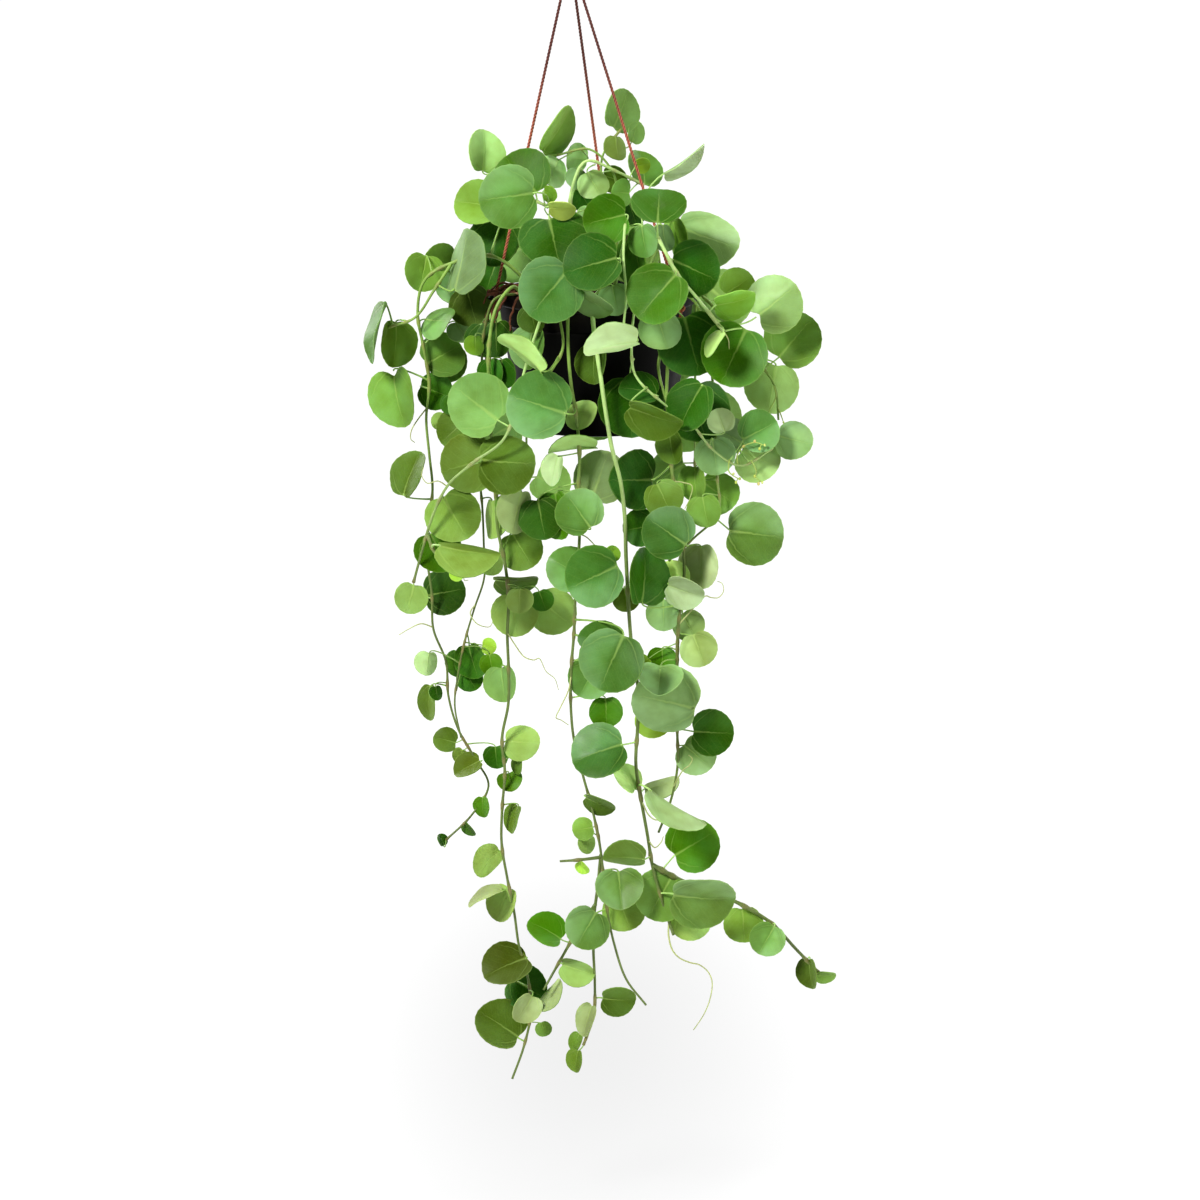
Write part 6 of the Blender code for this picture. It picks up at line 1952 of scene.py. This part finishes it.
def add_vine(name, vine, blanks, finishes, draw):
    """One vine as one piece: stems with swollen joints, stalks, and blades of real thickness."""
    kind = STEM_KINDS.get(name, "green")
    joints = [settled[3] for _, _, settled in vine["leaves"]]
    swell = STEM_SWELLS.get(name, STEM_SWELL)
    lines = [stem_line(stem, vine["radius"], joints, swell) for stem in vine["stems"]]
    stems = strands(name + "_stems", lines)
    joint_shade(stems, STEM_COLOURS[kind], joints)
    stalks = []
    for _, _, settled in vine["leaves"]:
        thick = 0.00042 + 0.0075 * settled[0]
        stalks.append((stalk_line(settled), [thick * share for share in STALK_SHAPE]))
    stalks = strands(name + "_stalks", stalks, sides=1)
    joint_shade(stalks, STALK_COLOURS[kind])
    blades = {False: [], True: []}
    for number, (leaf, tone, settled) in enumerate(vine["leaves"]):
        blank = blanks["broad" if settled[0] > BROAD_LEAF else "small"]
        tone = tone or draw.choice(BACK_TONES)
        piece, flipped = shaped_leaf(f"{name}_blade_{number}", blank, leaf, tone, settled, draw)
        blades[flipped].append(piece)
    sheets = []
    for flipped, pieces in blades.items():
        if not pieces:
            continue
        sheet = joined(f"{name}_blades_{flipped:d}", *pieces)
        coated(sheet, *finishes["lower_first" if flipped else "upper_first"])
        finish_with(
            sheet,
            "SOLIDIFY",
            thickness=BLADE_THICKNESS,
            offset=-1,
            material_offset=1,
            material_offset_rim=0,
        )
        shade(sheet, 60)
        sheets.append(sheet)
    coated(stems, finishes["stem"])
    coated(stalks, finishes["stem"])
    whole = joined(name + "_grown", stems, stalks, *sheets)
    return belongs(whole, "vine_green", name)


def add_tendrils(stems, finish):
    """Thin tendrils that leave the stems and curl."""
    routes = []
    for radius, route in TENDRILS:
        points = [seen_at(*place) for place in route]
        away = nearest_stem_place(stems, points[0]) - points[0]
        points = [point + away * max(0.0, 1 - n / 4) for n, point in enumerate(points)]
        routes.append(thinning(smooth_route(points, 6), radius * MM, 1, 0.55))
    piece = strands("tendrils", routes, sides=1)
    joint_shade(piece, TENDRIL_COLOUR)
    return belongs(coated(piece, finish), "vine_green")


def add_flower_stalks(stems, stem, skin, draw):
    """Thin stalks with small round buds."""
    routes, buds = [], []
    deselect()
    bpy.ops.mesh.primitive_ico_sphere_add(subdivisions=2, radius=1)
    bud = bpy.context.object
    edit_all()
    bpy.ops.transform.resize(value=(0.85, 0.85, 1.15), center_override=(0, 0, 0))
    bpy.ops.object.mode_set(mode="OBJECT")
    for route, places in FLOWER_STALKS:
        points = [seen_at(*place) for place in route]
        points[0] = nearest_stem_place(stems, points[0])
        line = smooth_route(points, 6)
        routes.append(thinning(line, 1, 0.0006, 0.00025))
        for place in places:
            spot = seen_at(*place)
            foot = nearest_on(line, spot)[2]
            if (foot - spot).length > 0.0005:
                bent = foot.lerp(spot, 0.5) + UP * 0.0004
                routes.append(([foot, bent, spot], [0.0004, 0.00035, 0.0004]))
            twin = copy_of(bud, "bud")
            size = draw.uniform(0.0009, 0.0014)
            turn = Matrix.Rotation(draw.uniform(0, 3), 4, "X")
            twin.data.transform(Matrix.Translation(spot) @ turn @ Matrix.Scale(size, 4))
            paint(twin, "tint", linear(draw.choice(BUD_COLOURS)))
            buds.append(twin)
    bpy.data.objects.remove(bud)
    stalks = strands("flower_stalks", routes, sides=1)
    joint_shade(stalks, FLOWER_STALK_COLOUR)
    knobs = joined("flower_buds", *buds)
    bpy.ops.object.shade_smooth()
    belongs(coated(stalks, stem), "vine_green")
    belongs(coated(knobs, skin), "vine_green")


# Stage


def add_stage(finish):
    """The floor under the plant."""
    deselect()
    bpy.ops.mesh.primitive_plane_add(size=80, location=(0, 0, FLOOR_Z))
    floor = bpy.context.object
    floor.name = "floor"
    bpy.ops.object.transform_apply(location=True, rotation=True, scale=True)
    floor.data.materials.append(finish)


def add_lights():
    """Soft light from the upper left, a little from the right and behind, in a white room."""
    middle = Vector((POT_AXIS_X, 0, -0.5))
    for name, (place, size, power) in LIGHTS.items():
        lamp = bpy.data.lights.new(name, "AREA")
        lamp.shape = "DISK"
        lamp.size = size
        lamp.energy = power
        holder = bpy.data.objects.new(name, lamp)
        holder.location = place
        holder.rotation_euler = (middle - Vector(place)).to_track_quat("-Z", "Y").to_euler()
        bpy.context.scene.collection.objects.link(holder)
    world = bpy.data.worlds.new("white_room")
    world.use_nodes = True
    tree = world.node_tree
    seen = tree.nodes.new("ShaderNodeLightPath").outputs["Is Camera Ray"]
    backdrop = tree.nodes["Background"].inputs
    backdrop["Color"].default_value = (1, 1, 1, 1)
    tree.links.new(ranged(tree, seen, 0, 1, ROOM_LIGHT, 1.0), backdrop["Strength"])
    bpy.context.scene.world = world


# Making


add_camera()
groups = {"veins": make_vein_group(), "mottle": make_mottle_group()}
twine = cord_finish(groups)
cord_pieces = {side: add_cord(side, twine) for side in EAR_BEARINGS}
knots = {side: add_ear_knot(side, twine) for side in EAR_BEARINGS}
top_knot = add_top_knot(twine)
add_hook(wire_finish(groups))

obstacles = [node_obstacle("pot", "pot"), soil_obstacle()]
for side in EAR_BEARINGS:
    obstacles += [node_obstacle(kind + side, "cord") for kind in ("cord_", "knot_")]
obstacles.append(node_obstacle("knot_top", "cord"))
grown = grow_vines(obstacles)
grown_stems = [stem for vine in grown.values() for stem in vine["stems"]]

draw = random.Random(11)
add_pot(plastic_finish(groups))
add_soil(earth_finish("potting_soil", groups, coloured=False))
add_bark(earth_finish("bark", groups, coloured=True), draw)
add_old_roots(earth_finish("dry_root", groups, coloured=True), draw)
upper = leaf_finish("leaf_upper", "tint", groups, under=False)
lower = leaf_finish("leaf_lower", "under_tint", groups, under=True)
stem = stem_finish(groups)
finishes = {"upper_first": (upper, lower), "lower_first": (lower, upper), "stem": stem}
blanks = {"broad": leaf_blank(44, (0.11, 0.25, 0.30)), "small": leaf_blank(28, (0.14, 0.42))}
for name, vine in grown.items():
    add_vine(name, vine, blanks, finishes, draw)
for blank in blanks.values():
    bpy.data.objects.remove(blank)
add_tendrils(grown_stems, stem)
add_flower_stalks(grown_stems, stem, bud_finish(groups), draw)

add_stage(floor_finish(groups))
add_lights()
bpy.context.scene.view_settings.view_transform = "Standard"
bpy.context.scene.view_settings.look = "Medium High Contrast"
deselect()
